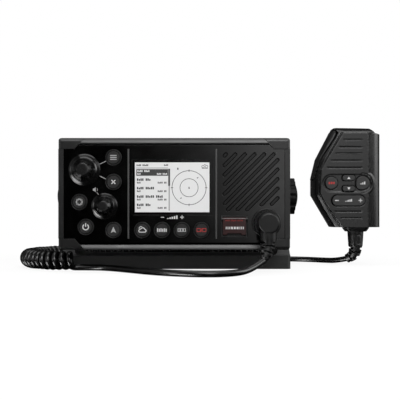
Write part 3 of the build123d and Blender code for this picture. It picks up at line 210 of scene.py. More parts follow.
# %% A socket that can be calculated with
class Wire:
    """An output socket of a material's nodes."""

    def __init__(self, tree, socket=None):
        self.tree = tree
        self.socket = socket

    def node(self, kind, settings=None, sockets=None, output=0):
        """Adds a node: its settings first, then a value or a wire for each socket."""
        made = self.tree.nodes.new("ShaderNode" + kind)
        for name, value in (settings or {}).items():
            setattr(made, name, value)
        for name, value in (sockets or {}).items():
            if isinstance(value, Wire):
                self.tree.links.new(value.socket, made.inputs[name])
            else:
                made.inputs[name].default_value = value
        return Wire(self.tree, made.outputs[output])

    def math(self, operation, *values):
        """A Math node of this operation, with a value or a wire for each place."""
        return self.node("Math", {"operation": operation}, dict(enumerate(values)))

    def __add__(self, other):
        return self.math("ADD", self, other)

    def __sub__(self, other):
        return self.math("SUBTRACT", self, other)

    def __rsub__(self, other):
        return self.math("SUBTRACT", other, self)

    def __mul__(self, other):
        return self.math("MULTIPLY", self, other)

    def __truediv__(self, other):
        return self.math("DIVIDE", self, other)

    def __rtruediv__(self, other):
        return self.math("DIVIDE", other, self)

    __radd__ = __add__
    __rmul__ = __mul__

    def clear(self, low, high):
        """0 below low, 1 above high and a straight climb between."""
        return self.node("MapRange", {"clamp": True}, {"Value": self, "From Min": low, "From Max": high})

    def between(self, low, low_full, high_full, high):
        """0 up to low, 1 from low_full to high_full, and 0 again from high."""
        return self.clear(low, low_full) * self.clear(high, high_full)

    def part(self, axis):
        """The X, Y or Z part of a place or direction."""
        return self.node("SeparateXYZ", {}, {"Vector": self}, output=axis)

    def noise(self, size, detail=2.0, rough=0.5):
        """Cloudy noise from 0 to 1, whose clouds are about this size in metres."""
        looks = {"Vector": self, "Scale": 1 / size, "Detail": detail, "Roughness": rough}
        return self.node("TexNoise", {}, looks)

    def paint(self, under, over):
        """As this wire goes from 0 to 1, one colour gives way to another."""
        return self.node("Mix", {"data_type": "RGBA"}, {0: self, 6: under, 7: over}, output=2)

    def tint(self, low, high):
        """The same between two plain colours."""
        return self.paint((*low, 1), (*high, 1))


def start(made, coordinates="Object"):
    """Empties a material or world, and gives it with the wire of its coordinates."""
    made.use_nodes = True
    made.node_tree.nodes.clear()
    return made, Wire(made.node_tree).node("TexCoord", output=coordinates)


def end(surface, kind="Material"):
    """Joins a shader's wire to the output of its nodes."""
    out = surface.tree.nodes.new("ShaderNodeOutput" + kind)
    surface.tree.links.new(surface.socket, out.inputs["Surface"])


def rays(wire):
    """Wires that are 1 for what the camera, gloss and clear matter see."""
    return [wire.node("LightPath", output=f"Is {kind} Ray") for kind in ("Camera", "Glossy", "Transmission")]


def close(made, place, looks, crevice_shade=None):
    """Ends a material in the Principled shader, and in a near-black one where the crevice shade wire is 1, as
    painted shade.
    """
    surface = place.node("BsdfPrincipled", {}, looks)
    if crevice_shade:
        shade_black = place.node("BsdfDiffuse", {}, {"Color": (0.001, 0.001, 0.001, 1)})
        surface = place.node("MixShader", {}, {0: crevice_shade, 1: surface, 2: shade_black})
    end(surface)
    return made


# %% [markdown]
# ## Moulded plastic, rubber and painted metal
# Nearly every part here is a black moulding. What tells them apart is the grain of the mould, how
# far it spreads the light, and how handling polishes the edges. So one function makes them all:
# fine grain for the height, slow drifts for the tone, and an edge mask from the Bevel node, which
# also rounds the sharp CAD edges so that they catch a thin line of light.
# In hollows and crevices, ambient occlusion mixes in a near-black shader: painted shade.

# %% One function for the black mouldings
def grey(level):
    """The colour of one level of grey; a colour stays as it is."""
    return np.broadcast_to(level, 3).tolist()


def moulding(
    name, colour, rough, grain, depth, edge=0.35, wear=0.5, step=None, hollow=(2.0, 0.85, 0.35), **constants
):
    """Plastic whose tone drifts by a tenth, whose grain is a bump, whose edges are worn and whose hollows
    take painted shade.

    The grain's size and depth, the width of an edge and the reach of a hollow are in millimetres.
    step is (y, share): what lies behind the level y takes this share of the tone, as painted shade.
    hollow is (reach, share, darkest): what walls within the reach close in goes dark by up to the share, as
    painted shade.
    """
    made, place = start(bpy.data.materials.new(name))
    colour = grey(colour)
    drift = place.noise(14 * mm, 3.0)
    fleck = place.noise(grain * mm, 2.0, 0.6)
    rounded = place.node("Bevel", {"samples": 4}, {"Radius": edge * mm})
    flat = place.node("NewGeometry", output="Normal")
    facing = place.node("VectorMath", {"operation": "DOT_PRODUCT"}, {0: rounded, 1: flat}, output="Value")
    worn = (1 - facing).clear(0.01, 0.2) * place.noise(5 * mm, 2.0).clear(0.35, 0.7) * wear
    low = [0.82 * part for part in colour]
    high = [1.18 * part for part in colour]
    tone = (drift * 0.7 + fleck * 0.3).tint(low, high)
    pale = [min(1.0, 2.6 * part + 0.01) for part in colour]
    bare = drift.tint(pale, [1.2 * part for part in pale])
    # Painted shade: what lies behind the step's level takes a darker share of the tone.
    if step:
        level, share = step
        behind = place.part("Y").clear(level, level + 0.2 * mm)
        dim = drift.tint([share * part for part in low], [share * part for part in high])
        tone = behind.paint(tone, dim)
    height = {"Strength": 1.0, "Distance": depth * mm, "Height": fleck, "Normal": rounded}
    looks = {
        "Base Color": worn.paint(tone, bare),
        "Roughness": (drift * 0.16 + fleck * 0.06 - worn * 0.14 + (rough - 0.1)).clear(0.0, 1.0),
        "Normal": place.node("Bump", {}, height),
    }
    looks.update({socket.replace("_", " "): value for socket, value in constants.items()})
    crevice_shade = None
    # Painted shade: ambient occlusion mixes a near-black shader into hollows and crevices.
    if hollow:
        reach, share, darkest = hollow
        sky = place.node("AmbientOcclusion", {"samples": 6}, {"Distance": reach * mm}, output="AO")
        crevice_shade = sky.clear(0.95 - 0.2 * (1 - darkest), darkest) * share
    return close(made, place, looks, crevice_shade)


# %% The finishes, each named by its slot: tone, roughness, size and depth of the grain
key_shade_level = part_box("key_menu")[0].y + 0.08 * mm         # between the caps' faces and the rings round them, which are painted darker as shade
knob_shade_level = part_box("channel_knob")[0].y + 0.03 * mm    # just behind the knobs' flat ends; the bodies behind are painted darker as shade
# The steps and hollows in these finishes are painted shade.
of_keys = {"step": (key_shade_level, 0.2), "Specular_IOR_Level": 0.25}
of_knobs = {"edge": 0.06, "wear": 0.3, "step": (knob_shade_level, 0.28), "hollow": (0.6, 0.5, 0.5)}
of_cloth = {"wear": 0.0, "hollow": (1.5, 0.95, 0.72), "Specular_IOR_Level": 0.38}
finishes = {}


def finish(slot, *numbers, **more):
    """The moulding of a material slot."""
    finishes[slot] = moulding(slot.replace("_", " "), *numbers, **more)


finish("housing_plastic", 0.004, 0.34, 0.35, 0.012)
finish("rail_satin", 0.005, 0.30, 0.30, 0.006)
finish("key_rubber", 0.014, 0.46, 0.25, 0.006, **of_keys)
finish("red_key_rubber", 0.014, 0.46, 0.25, 0.006, **of_keys)
finish("knob_plastic", 0.011, 0.17, 0.28, 0.002, **of_knobs)
finish("mat_silicone", 0.12, 0.6, 0.4, 0.008)
finish("speaker_metal", 0.08, 0.5, 0.5, 0.006, Metallic=0.7)
finish("cone_paper", 0.05, 0.8, 0.6, 0.03)
finish("plug_plastic", 0.006, 0.36, 0.30, 0.008, hollow=(3.0, 0.9, 0.35), Specular_IOR_Level=0.3)
finish("boot_rubber", 0.005, 0.32, 0.35, 0.008)
finish("cord_jacket", 0.003, 0.24, 0.50, 0.006, wear=0.0, hollow=(3.0, 0.95, 0.35))
finish("chassis_paint", 0.018, 0.46, 0.55, 0.03)
finish("gland_plastic", 0.02, 0.5, 0.4, 0.01)
finish("bracket_plastic", 0.006, 0.46, 0.45, 0.02)
finish("washer_rubber", 0.02, 0.7, 0.4, 0.01)
finish("clamp_plastic", 0.004, 0.5, 0.35, 0.012, Specular_IOR_Level=0.12)
finish("mic_plastic", 0.006, 0.25, 0.32, 0.008, hollow=(0.9, 0.7, 0.35))
finish("ptt_rubber", 0.007, 0.32, 0.30, 0.008)
finish("mic_key_rubber", 0.012, 0.46, 0.25, 0.006)
finish("mic_red_key_rubber", 0.012, 0.46, 0.25, 0.006)
finish("cover_red", (0.022, 0.004, 0.004), 0.20, 0.6, 0.002)
finish("fascia_gloss", 0.0003, 0.12, 6.0, 0.004, wear=0.1, hollow=None)
finish("shaft_steel", 0.55, 0.32, 0.20, 0.003, wear=0.1, Metallic=1.0)
finish("encoder_metal", 0.5, 0.35, 0.30, 0.003, Metallic=1.0)
finish("connector_metal", (0.62, 0.59, 0.53), 0.24, 0.4, 0.002, wear=0.1, Metallic=1.0)
finish("board_laminate", (0.012, 0.09, 0.035), 0.35, 0.8, 0.01)
finish("screen_cloth", 0.003, 0.22, 0.5, 0.004, **of_cloth)
finish("display_stack", 0.35, 0.4, 0.4, 0.004)
finish("window_glass", 0.0003, 0.10, 6.0, 0.002, wear=0.0, hollow=None)
print("finishes:", len(finishes))

# %% [markdown]
# ## The lit display and the prints
# The display is a backlit panel behind a clear window. Its light is part of its look, so its
# finish glows a little, evenly, under a coat of gloss. A print is a thin even ink.

# %% Finishes of the display and the ink
def glowing(name, level, glow):
    """An even grey that also shines by itself, under a clear coat; only a faint cloudiness varies it."""
    made, place = start(bpy.data.materials.new(name))
    cloud = place.noise(9 * mm, 2.0)
    light = cloud.tint(grey(0.97 * level), grey(level))
    looks = {
        "Base Color": light,
        "Roughness": cloud * 0.05 + 0.3,
        "Emission Color": light,
        "Emission Strength": glow,
        "Coat Weight": 1.0,
        "Coat Roughness": 0.08,
    }
    return close(made, place, looks)


def print_ink(name, colour):
    """A moulding's looks without its wear and without painted shade in its hollows."""
    return moulding(name, colour, 0.4, 0.3, 0.002, wear=0.0, hollow=None)


screen_light = glowing("display, light part", 0.66, 0.13)
screen_dark = glowing("display, dark part", 0.012, 0.1)
screen_grey = glowing("display, grey part", 0.05, 0.1)
screen_bar = glowing("display, chosen row", 0.035, 0.1)
screen_pale = glowing("display, rules", 0.30, 0.1)
ink_white = print_ink("white print", 0.62)
ink_pale = print_ink("pale print", 0.34)
ink_grey = print_ink("grey print", 0.035)
ink_red = print_ink("red print", (0.42, 0.018, 0.016))
ink_deep_red = print_ink("dark red print", (0.16, 0.007, 0.006))
print("materials:", len(bpy.data.materials))

# %% Put each finish on the parts that carry its slot
for node in nodes.values():
    slot = node.data.materials[0].name.split(".")[0]
    node.data.materials[0] = finishes[slot]
nodes["divider_strips"].data.materials[0] = ink_grey
print("finished parts:", len(nodes))

# %% [markdown]
# ## Camera, table and light
# The radio is seen straight on from a little over half a metre. The lens is lifted by its shift
# rather than by tilting the camera, so upright edges stay upright.

# %% Camera
lens = bpy.data.cameras.new("camera")
lens.lens = 64.29
lens.sensor_width = 36
lens.shift_y = 0.0375
camera = placed("camera", lens)
camera.location = (0.0202, -0.628, 0.0453)
camera.rotation_euler = (math.radians(90), 0, 0)
bpy.context.scene.camera = camera
bpy.context.scene.view_settings.view_transform = "Standard"
print("camera:", round(-camera.location.y, 3), "m in front, with a lens of", round(lens.lens, 1), "mm")

# %% [markdown]
# The table is a white sheet. Light Path tells it who is looking: to the camera, it is
# nearly pure white, and only a share of it takes the soft shadow. The gloss of the radio looks
# through it, into the dark room and the cards that the world sets up.

# %% Table
def table_finish():
    """Mostly even light to the eye, plain white paint to the lamps, and clear to the gloss above it."""
    made, place = start(bpy.data.materials.new("white table"))
    seen, mirror, through = rays(place)
    away = place.part("Y").clear(0.10, 0.40)
    seen = (seen * (away * 0.14 + 0.86) + through).clear(0.0, 1.0)
    white = place.noise(60 * mm, 2.0).tint(grey(0.88), grey(0.9))
    paint = place.node("BsdfDiffuse", {}, {"Color": white})
    light = place.node("Emission", {}, {"Color": (1, 1, 1, 1), "Strength": 1.03})
    both = place.node("MixShader", {}, {0: seen, 1: paint, 2: light})
    nothing = place.node("BsdfTransparent", {}, {"Color": (1, 1, 1, 1)})
    end(place.node("MixShader", {}, {0: mirror, 1: both, 2: nothing}))
    return made


side, near, far = 0.62, -0.47, 0.62
corners = [(-side, near), (side, near), (side, far), (-side, far)]
table_level = -0.2 * mm    # a hair below what stands on it
sheet = bpy.data.meshes.new("table")
sheet.from_pydata([(*corner, table_level) for corner in corners], [], [[0, 1, 2, 3]])
sheet.materials.append(table_finish())
table = placed("table", sheet)
print("table:", 2 * side, "by", far - near, "m")

# %% [markdown]
# Black gloss shows what it faces. Behind the camera the room is dark, so the panel stays black,
# and a pale card to the right of the camera lays a grey slope over its right half. Bands of light
# above, at both sides and low at the left draw the lines along rails, keys and knobs. Each one is
# a share from 0 to 1 of the direction: across and up per step ahead, or the turn in radians.

# %% World
world, direction = start(bpy.data.worlds.new("room"), "Generated")
bpy.context.scene.world = world
x, y, z = [direction.part(axis) for axis in "XYZ"]
front = 0 - y
ahead = front.math("MAXIMUM", front, 0.02)
across = x / ahead
climb = z / ahead
turn = x.math("ARCTAN2", x, front)
facing = front.clear(0.05, 0.3)
upright_band = z.between(-0.25, 0.1, 0.6, 0.9)
slope = (across * 4.47 + climb * 1.1 + 0.46).clear(0.0, 1.05)
card = (slope * 0.12 + slope * slope * slope * 0.88) * (climb.clear(-0.045, 0.01) * 0.6 + 0.4)
card = card * across.clear(0.45, 0.12) * climb.clear(0.6, 0.3) * facing
above = climb.between(0.3, 0.6, 1.0, 1.3) * facing * (0 - across).clear(0.6, 0.35)
right_side = turn.between(1.15, 1.25, 1.85, 2.0) * upright_band
left_side = (0 - turn).between(1.0, 1.2, 1.7, 2.0) * upright_band
low_left = (0 - across).between(0.7, 1.0, 2.2, 2.8) * (0 - climb).between(0.6, 0.8, 1.7, 2.2)
behind = y.clear(-0.1, 0.6)
seen, mirror, through = rays(direction)
plain = 1 - seen - mirror - through
shine = card * 1.7 + above * 1.75 + left_side * 0.3 + right_side * 1.7
shine = shine + low_left * 16.0 + behind * 0.04 + 0.0008
strength = seen + through + mirror * shine + plain * 0.25
end(direction.node("Background", {}, {"Color": (1, 1, 1, 1), "Strength": strength}), "World")
print("nodes of the world:", len(world.node_tree.nodes))


# %% Lamps
def lamp(name, place, target, width, height, watts):
    """A flat soft lamp of this size at a place, turned to its target."""
    data = bpy.data.lights.new(name, "AREA")
    data.shape = "RECTANGLE"
    data.size = width
    data.size_y = height
    data.energy = watts
    made = placed(name, data)
    made.location = place
    way = Vector(target) - Vector(place)
    made.rotation_euler = way.to_track_quat("-Z", "Y").to_euler()
    made.visible_camera = False


lamp("top lamp", (0.0, -0.15, 0.85), (0.0, 0.0, 0.05), 0.9, 0.6, 4.0)
lamp("left lamp", (-0.80, -0.50, 0.16), (0.0, 0.0, 0.05), 0.3, 0.25, 0.8)
lamp("right lamp", (0.85, -0.35, 0.40), (0.05, 0.0, 0.05), 0.35, 0.6, 2.4)
lamp("front lamp", (0.10, -1.1, 0.70), (0.03, 0.0, 0.06), 0.9, 0.4, 7.0)
print("lamps:", len(bpy.data.lights))

# %% [markdown]
# ## The curly cord
# The cord leaves the plug, drops to the table and loops in front of the bracket. From the left
# corner it is wound into a long coil, which bends round the bracket and lies behind it, and then
# it runs straight to the handset. It is one tube, 5 mm thick: the winding is a helix round the
# coil's smooth axis, and at both ends the wire turns gently from along the axis to round it.

# %% The three runs of the route, in metres
front_tail_route = [
    (0.0682, -0.0884, 0.0110),
    (0.0585, -0.0950, 0.0044),
    (0.0460, -0.1045, 0.0025),
    (0.0220, -0.1125, 0.0025),
    (-0.0120, -0.0955, 0.0025),
    (-0.0395, -0.0645, 0.0025),
    (-0.0535, -0.0502, 0.0025),
    (-0.0665, -0.0440, 0.0025),
    (-0.0800, -0.0440, 0.0025),
]
coil_route = [
    (-0.0800, -0.0440, 0.00815),
    (-0.1010, -0.0440, 0.00815),
    (-0.1290, -0.0160, 0.00815),
    (-0.1305, 0.0260, 0.00815),
    (-0.1140, 0.0580, 0.00815),
    (-0.0800, 0.0730, 0.00815),
    (-0.0350, 0.0750, 0.00815),
    (0.0100, 0.0746, 0.00815),
    (0.0500, 0.0732, 0.00815),
    (0.0750, 0.0716, 0.00815),
    (0.0990, 0.0692, 0.00815),
]
rear_tail_route = [
    (0.0990, 0.0692, 0.0025),
    (0.1100, 0.0681, 0.0025),
    (0.1260, 0.0608, 0.0025),
    (0.1390, 0.0476, 0.0025),
    (0.1472, 0.0372, 0.0030),
    (0.1554, 0.0306, 0.0052),
]
cord_radius = 2.5 * mm
coil_radius = 5.65 * mm    # from the coil's axis to the middle of the wire
coil_turns = 60
lead_in = 6 * mm           # wire that it takes to turn from straight to wound
wire_steps = 6000          # steps at which the winding is worked out
print("points of the three runs:", len(front_tail_route), len(coil_route), len(rear_tail_route))

# %% The winding
def added_up(rate, step):
    """The sum so far of a rate at even steps, by trapezoids."""
    return np.concatenate([[0], np.cumsum((rate[1:] + rate[:-1]) / 2 * step)])


def winding(axis_length, steepest, count):
    """At even steps w of wire, the distance s along the axis and the angle round it.

    ds = cos(slope) dw and d(angle) = sin(slope) dw / radius. The slope eases in at both ends, and
    slow waves make its turns a little uneven. Six rounds settle the length of the wire.
    """
    share = np.linspace(0, 1, count)
    wire = axis_length / math.cos(steepest)
    for _ in range(6):
        ease = held(np.minimum(share, 1 - share) * wire / lead_in)
        ease = ease * ease * (3 - 2 * ease)
        spread = 1 + 0.045 * np.sin(share * 47 + 1.0) + 0.03 * np.sin(share * 121)
        slope = np.arctan(math.tan(steepest) / spread) * ease
        wire = axis_length / np.cos(slope).mean()
    radius = coil_radius * (1 - 0.02 * ease * (1 + np.sin(share * 83)))
    step = wire / (count - 1)
    along = added_up(np.cos(slope), step)
    turn = added_up(np.sin(slope) / radius, step)
    return along * axis_length / along[-1], turn, radius, wire


coil_axis = smooth_line(coil_route)
axis_length = travelled(coil_axis)[-1]
low, high = 1.2, 1.5       # radians, halved until the turns come out
for _ in range(30):
    steepest = (low + high) / 2
    along, turn, radius, wire = winding(axis_length, steepest, wire_steps)
    if turn[-1] < coil_turns * 2 * math.pi:
        low = steepest
    else:
        high = steepest
print("coil:", coil_turns, "turns on", round(axis_length / mm), "mm of axis,", round(wire / mm), "mm of wire")

# %% The cord's line, and its outward direction: away from the coil's axis, and down at the ends
ring_count = 1180
keep = np.linspace(0, len(along) - 1, ring_count).round().astype(int)
along, turn, radius = along[keep], turn[keep] * coil_turns * 2 * math.pi / turn[-1], radius[keep]
centre = at_distances(coil_axis, along)
heading = unit(at_distances(coil_axis, along + 1 * mm) - at_distances(coil_axis, along - 1 * mm))
side = np.stack([-heading[:, 1], heading[:, 0], 0 * along], 1)
up = np.array([0.0, 0.0, 1.0])
angle = (turn - math.pi / 2)[:, None]
spoke = np.cos(angle) * side + np.sin(angle) * up
coil_line = centre + radius[:, None] * spoke
front_run = even_line(front_tail_route, 2.5 * mm)
rear_run = even_line(rear_tail_route, 2.5 * mm)
cord_line = np.concatenate([front_run[:-1], coil_line, rear_run[1:]])
outward = np.concatenate([front_run[:-1] * 0 - up, spoke, rear_run[1:] * 0 - up])

# %% The cord as one tube
cord_rings = tube(cord_line, cord_radius, outward, sides=12)
curly_cord = make("curly_cord", [shell(cord_rings)], "cord_jacket", sharp=60)
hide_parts("cord_front_tail", "cord_coil", "cord_rear_tail")
print("cord rings:", len(cord_rings))

# %% [markdown]
# ## Printed marks
# Prints on plastic are a few hundredths of a millimetre of ink. Each mark here is a bar along a
# drawn line, or a plate inside an outline. They are drawn in millimetres to the right and up, and
# each one rides on the part that carries it.

# %% Bars and plates
ink = 0.05 * mm            # thickness of a plate
ink_proud = 0.03 * mm      # how much of it stands out of what carries it
print("a plate of ink:", round(ink / mm, 2), "mm, of which", round(ink_proud / mm, 2), "mm stands out")


def bar(line, width, front, closed=False):
    """A flat bar along a line of (x, z) in mm: half the width to each side, and both edges again behind."""
    line = np.asarray(line, float) * mm
    way = unit(np.roll(line, -1, 0) - np.roll(line, 1, 0) if closed else np.gradient(line, axis=0))
    beside = np.stack([-way[:, 1], way[:, 0]], 1) * width * mm / 2
    edges = (line + beside, line - beside, line - beside, line + beside)
    levels = (front, front, front + ink, front + ink)
    corners = [np.insert(edge, 1, level, axis=1) for edge, level in zip(edges, levels)]
    return shell(np.stack(corners, 1), ends=not closed, wrap_rows=closed)


def plate(outline, front, depth=ink):
    """A flat plate inside an outline of (x, z) in mm: the outline in front and again behind."""
    outline = np.asarray(outline, float) * mm
    rings = [np.insert(outline, 1, level, axis=1) for level in (front, front + depth)]
    return shell(np.stack(rings))


def box(left, right, low, high, front):
    """An upright rectangular plate."""
    return plate([(left, low), (right, low), (right, high), (left, high)], front)


def arc(middle, radius, first, last, count=40):
    """Points round a middle from one angle to another, in degrees from the right, upwards."""
    angle = np.radians(np.linspace(first, last, count))
    return np.stack([middle[0] + radius * np.cos(angle), middle[1] + radius * np.sin(angle)], 1)


def spot(middle, reach, turn):
    """One point at this reach and angle from a middle."""
    return arc(middle, reach, turn, turn, 1)[0]


def ring(middle, radius, width, front):
    """A printed circle."""
    return bar(arc(middle, radius, 0, 360 - 360 / 48, 48), width, front, closed=True)


def moved(points, middle):
    """A drawing set round a middle."""
    return np.asarray(points, float) + middle


def frame_round(middle, half_wide, half_tall, width, front):
    """A rectangle drawn with a bar round a middle."""
    wide, tall = np.array([-1, 1, 1, -1]) * half_wide, np.array([-1, -1, 1, 1]) * half_tall
    return bar(moved(np.stack([wide, tall], 1), middle), width, front, closed=True)


def stairs(left, width, pitch, low, high, rise, count, front):
    """Blocks side by side, each one higher than the last by the rise."""
    starts = left + pitch * np.arange(count)
    return [box(start, start + width, low, high + rise * step, front) for step, start in enumerate(starts)]


def letters(left, right, middle, height, front):
    """Blocks in place of words: every sixth is left out as a space, and every third one is lower."""
    step, low = 0.72 * height, middle - height / 2
    made = []
    for place in range(int((right - left) / step)):
        start = left + place * step
        tall = height * (0.72 if place % 3 == 1 else 1.0)
        if place % 6 != 4:
            made.append(box(start, start + 0.54 * height, low, low + tall, front))
    return made


# %% [markdown]
# ### The picture on the display
# The left half lists five entries under a title, the first one chosen, with a scroll bar. The
# right half is a plotter's compass ring. Words are left as plain blocks.

# %% Picture on the display
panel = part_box("lcd_window")[0].y - ink_proud
print("display front at", round(panel / mm, 2), "mm")
make("screen_panel", [box(-30.9, 27.6, 47.5, 86.6, panel)], "display_stack", "radio", screen_light)
screen = panel - ink_proud
row_tops, row_widths = (73.9, 67.2, 60.6, 54.1), (11.0, 13.8, 20.7, 12.0)
dark_marks = letters(-29.6, -19.0, 84.4, 1.3, screen) + letters(-8.1, -3.6, 84.5, 1.2, screen)
pale_marks = []
for top, wide in zip(row_tops, row_widths):
    dark_marks += letters(-29.3, -29.3 + wide, top - 0.8, 1.9, screen)
    pale_marks += letters(-29.3, -25.6, top - 3.2, 1.4, screen)
    pale_marks += letters(-13.0, -5.3, top - 3.2, 1.4, screen)
chosen = [box(-29.8, -4.9, 76.1, 81.3, screen), box(-4.75, -3.3, 68.2, 81.6, screen)]
above = screen - ink_proud
white_marks = letters(-29.0, -18.6, 79.8, 1.5, above)
white_marks += letters(-29.0, -25.6, 77.6, 1.25, above) + letters(-13.6, -5.4, 77.6, 1.25, above)
compass = (11.6, 66.7)
dark_marks += [ring(compass, 13.4, 0.42, screen), ring(compass, 7.1, 0.40, screen)]
for turn in (0, 90, 180, 270):
    dark_marks.append(bar([spot(compass, 12.5, turn), spot(compass, 14.3, turn)], 0.5, screen))
dark_marks.append(plate([(10.9, 65.7), (11.6, 66.2), (12.3, 65.7), (11.6, 67.9)], screen))
for middle, turn in (((18.4, 74.6), 35), ((5.2, 58.5), 215)):
    corners = [spot(middle, reach, turn + add) for reach, add in ((1.0, 0), (0.8, 140), (0.8, 220))]
    pale_marks.append(plate(corners, screen))
dark_marks.append(plate([(2.3, 80.6), (2.8, 81.1), (3.3, 80.6), (3.3, 82.4), (2.3, 82.4)], screen))
dark_marks += [ring((22.6, 83.3), 1.0, 0.35, screen), ring((25.3, 83.3), 1.0, 0.35, screen)]
dark_marks += [bar([(21.6, 82.0), (26.3, 82.0)], 0.4, screen), bar([(23.4, 84.8), (24.6, 84.8)], 0.4, screen)]
grey_marks = [box(-29.8, -4.9, 81.9, 82.5, screen), box(-4.45, -3.5, 48.7, 68.2, screen)]
make("screen_words", dark_marks, "display_stack", "radio", screen_dark)
make("screen_figures", pale_marks, "display_stack", "radio", screen_grey)
make("screen_chosen_row", chosen, "display_stack", "radio", screen_bar)
make("screen_chosen_words", white_marks, "display_stack", "radio", screen_light)
make("screen_rules", grey_marks, "display_stack", "radio", screen_pale)

# %% [markdown]
# ### Marks on the fascia and keys
# Each key carries a plain sign: bars for a menu, a cross to go back, a lifebuoy, a power sign, an
# arrow, a sun behind a cloud, a scale, three squares, and a red double frame. Lines tie the large
# knob to its two keys.

# %% Marks on the fascia
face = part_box("fascia_panel")[0].y - ink_proud
fascia_marks = [
    bar([(-58.8, 85.1), (-53.4, 87.7)], 0.55, face),
    bar([(-58.6, 75.9), (-53.2, 73.3)], 0.55, face),
    bar([(-60.9, 63.1), (-59.4, 61.2)], 0.45, face),
    plate([(-63.9, 64.3), (-62.9, 64.3), (-61.7, 63.3), (-61.7, 67.1), (-62.9, 66.1), (-63.9, 66.1)], face),
    bar(arc((-61.6, 65.2), 1.3, -50, 50, 9), 0.4, face),
]
level_marks = [
    bar([(-10.6, 43.5), (-8.0, 43.5)], 0.6, face),
    bar([(4.7, 43.6), (7.5, 43.6)], 0.6, face),
    bar([(6.1, 42.2), (6.1, 45.0)], 0.6, face),
]
level_marks += stairs(-5.6, width=1.15, pitch=1.75, low=42.2, high=42.9, rise=0.5, count=5, front=face)
make("fascia_lines", fascia_marks, "fascia_gloss", "radio", ink_pale)
make("zoom_scale", level_marks, "fascia_gloss", "radio", ink_white)

# %% Signs on the keys
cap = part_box("key_menu")[0].y - ink_proud
key_at = {
    "key_menu": (-47.6, 90.4),
    "key_cancel": (-47.6, 71.2),
    "key_overboard": (-74.3, 55.5),
    "key_power": (-69.3, 35.9),
    "key_nav": (-47.6, 33.5),
    "key_dim": (-25.0, 33.5),
    "key_scan": (-9.55, 33.5),
    "key_watch": (5.9, 33.5),
    "key_priority": (21.35, 33.5),
}


def stroke(key, points, width, closed=False):
    """A bar of a key's sign, drawn round the key's middle."""
    return bar(moved(points, key_at[key]), width, cap, closed)


def sign(key, shells, look):
    """Puts a key's sign on its body."""
    make(key + "_sign", shells, "key_rubber", key + "_body", look)


bars = [stroke("key_menu", [(-2.5, level), (2.5, level)], 0.75) for level in (-1.5, 0.0, 1.5)]
sign("key_menu", bars, ink_pale)
cross = [stroke("key_cancel", [(-1.5, -1.5 * way), (1.5, 1.5 * way)], 0.75) for way in (-1, 1)]
sign("key_cancel", cross, ink_white)
hoop = key_at["key_overboard"]
buoy = [ring(hoop, 2.2, 1.0, cap)]
for turn in (45, 135, 225, 315):
    buoy.append(bar([spot(hoop, 1.2, turn), spot(hoop, 3.1, turn)], 0.7, cap))
sign("key_overboard", buoy, ink_pale)
power = [stroke("key_power", line, 0.75) for line in (arc((0, 0), 2.2, 125, 415), [(0, 0.3), (0, 3.0)])]
sign("key_power", power, ink_white)
arrow = plate(moved([(0, 2.6), (-2.1, -2.2), (0, -1.2), (2.1, -2.2)], key_at["key_nav"]), cap)
sign("key_nav", [arrow], ink_pale)
# middle, radius, first and last angle of each puff of the cloud
puffs = (((-1.6, -0.6), 1.1, 250, 100), ((0.4, 0.3), 1.5, 140, 20), ((2.0, -0.6), 1.0, 60, -80))
cloud = np.concatenate([arc(*puff, 12) for puff in puffs])
sun = arc((-0.9, 1.2), 1.5, 60, 190, 12)
sign("key_dim", [stroke("key_dim", cloud, 0.6, closed=True), stroke("key_dim", sun, 0.5)], ink_white)
scale = []
scan_x, scan_z = key_at["key_scan"]
for step in range(6):
    left = scan_x - 3.8 + 1.32 * step
    tall = 1.4 - 0.35 * (step % 2)
    scale.append(box(left, left + 0.8, scan_z - 1.4, scan_z + tall, cap))
sign("key_scan", scale, ink_white)
squares = [frame_round(moved(key_at["key_watch"], (x, 0)), 0.75, 1.15, 0.5, cap) for x in (-2.15, 0.0, 2.15)]
sign("key_watch", squares, ink_white)
frames = [frame_round(moved(key_at["key_priority"], (x, 0)), 1.3, 1.2, 0.6, cap) for x in (-2.2, 2.2)]
frames.append(stroke("key_priority", [(-0.4, -1.4), (0.4, 1.4)], 0.5))
sign("key_priority", frames, ink_red)

# %% [markdown]
# ### Marks on the cover and on the handset
# Under the red cover sits the distress key. The cover carries three dots, three dashes and three
# dots, the old signal for help. The handset's keys repeat the radio's plain signs.

# %% Marks on the cover and on the handset
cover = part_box("distress_cover")[0].y - 0.02 * mm
dots = []
left = 40.3
for wide in (0.75, 0.75, 0.75, 1.5, 1.5, 1.5, 0.75, 0.75, 0.75):
    dots.append(box(left, left + wide, 34.2, 36.1, cover + 0.1 * mm))
    left += wide + 0.65
make("distress_dots", dots, "cover_red", "distress_cover_body", ink_white)
band = letters(40.0, 54.6, 41.0, 1.2, cover + 0.1 * mm)
make("distress_band", band, "cover_red", "distress_cover_body", ink_deep_red)
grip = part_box("mic_up_key")[0].y - ink_proud
up_arrow = plate([(151.9, 77.5), (154.7, 77.5), (153.3, 79.6)], grip)
down_arrow = plate([(151.9, 70.0), (153.3, 67.9), (154.7, 70.0)], grip)
make("mic_up_sign", [up_arrow], "mic_key_rubber", "mic_up_key_body", ink_white)
make("mic_down_sign", [down_arrow], "mic_key_rubber", "mic_down_key_body", ink_white)
red_bars = stairs(135.2, width=1.4, pitch=2.0, low=72.9, high=74.9, rise=0.0, count=3, front=grip)
make("mic_priority_sign", red_bars, "mic_key_rubber", "mic_priority_key_body", ink_red)
climb = stairs(163.6, width=1.1, pitch=1.65, low=72.6, high=73.6, rise=0.8, count=3, front=grip)
make("mic_power_sign", climb, "mic_key_rubber", "mic_power_key_body", ink_white)
rocker_marks = [
    bar([(140.9, 58.3), (144.3, 58.3)], 0.75, grip),
    bar([(162.0, 58.3), (165.4, 58.3)], 0.75, grip),
    bar([(163.7, 56.6), (163.7, 60.0)], 0.75, grip),
]
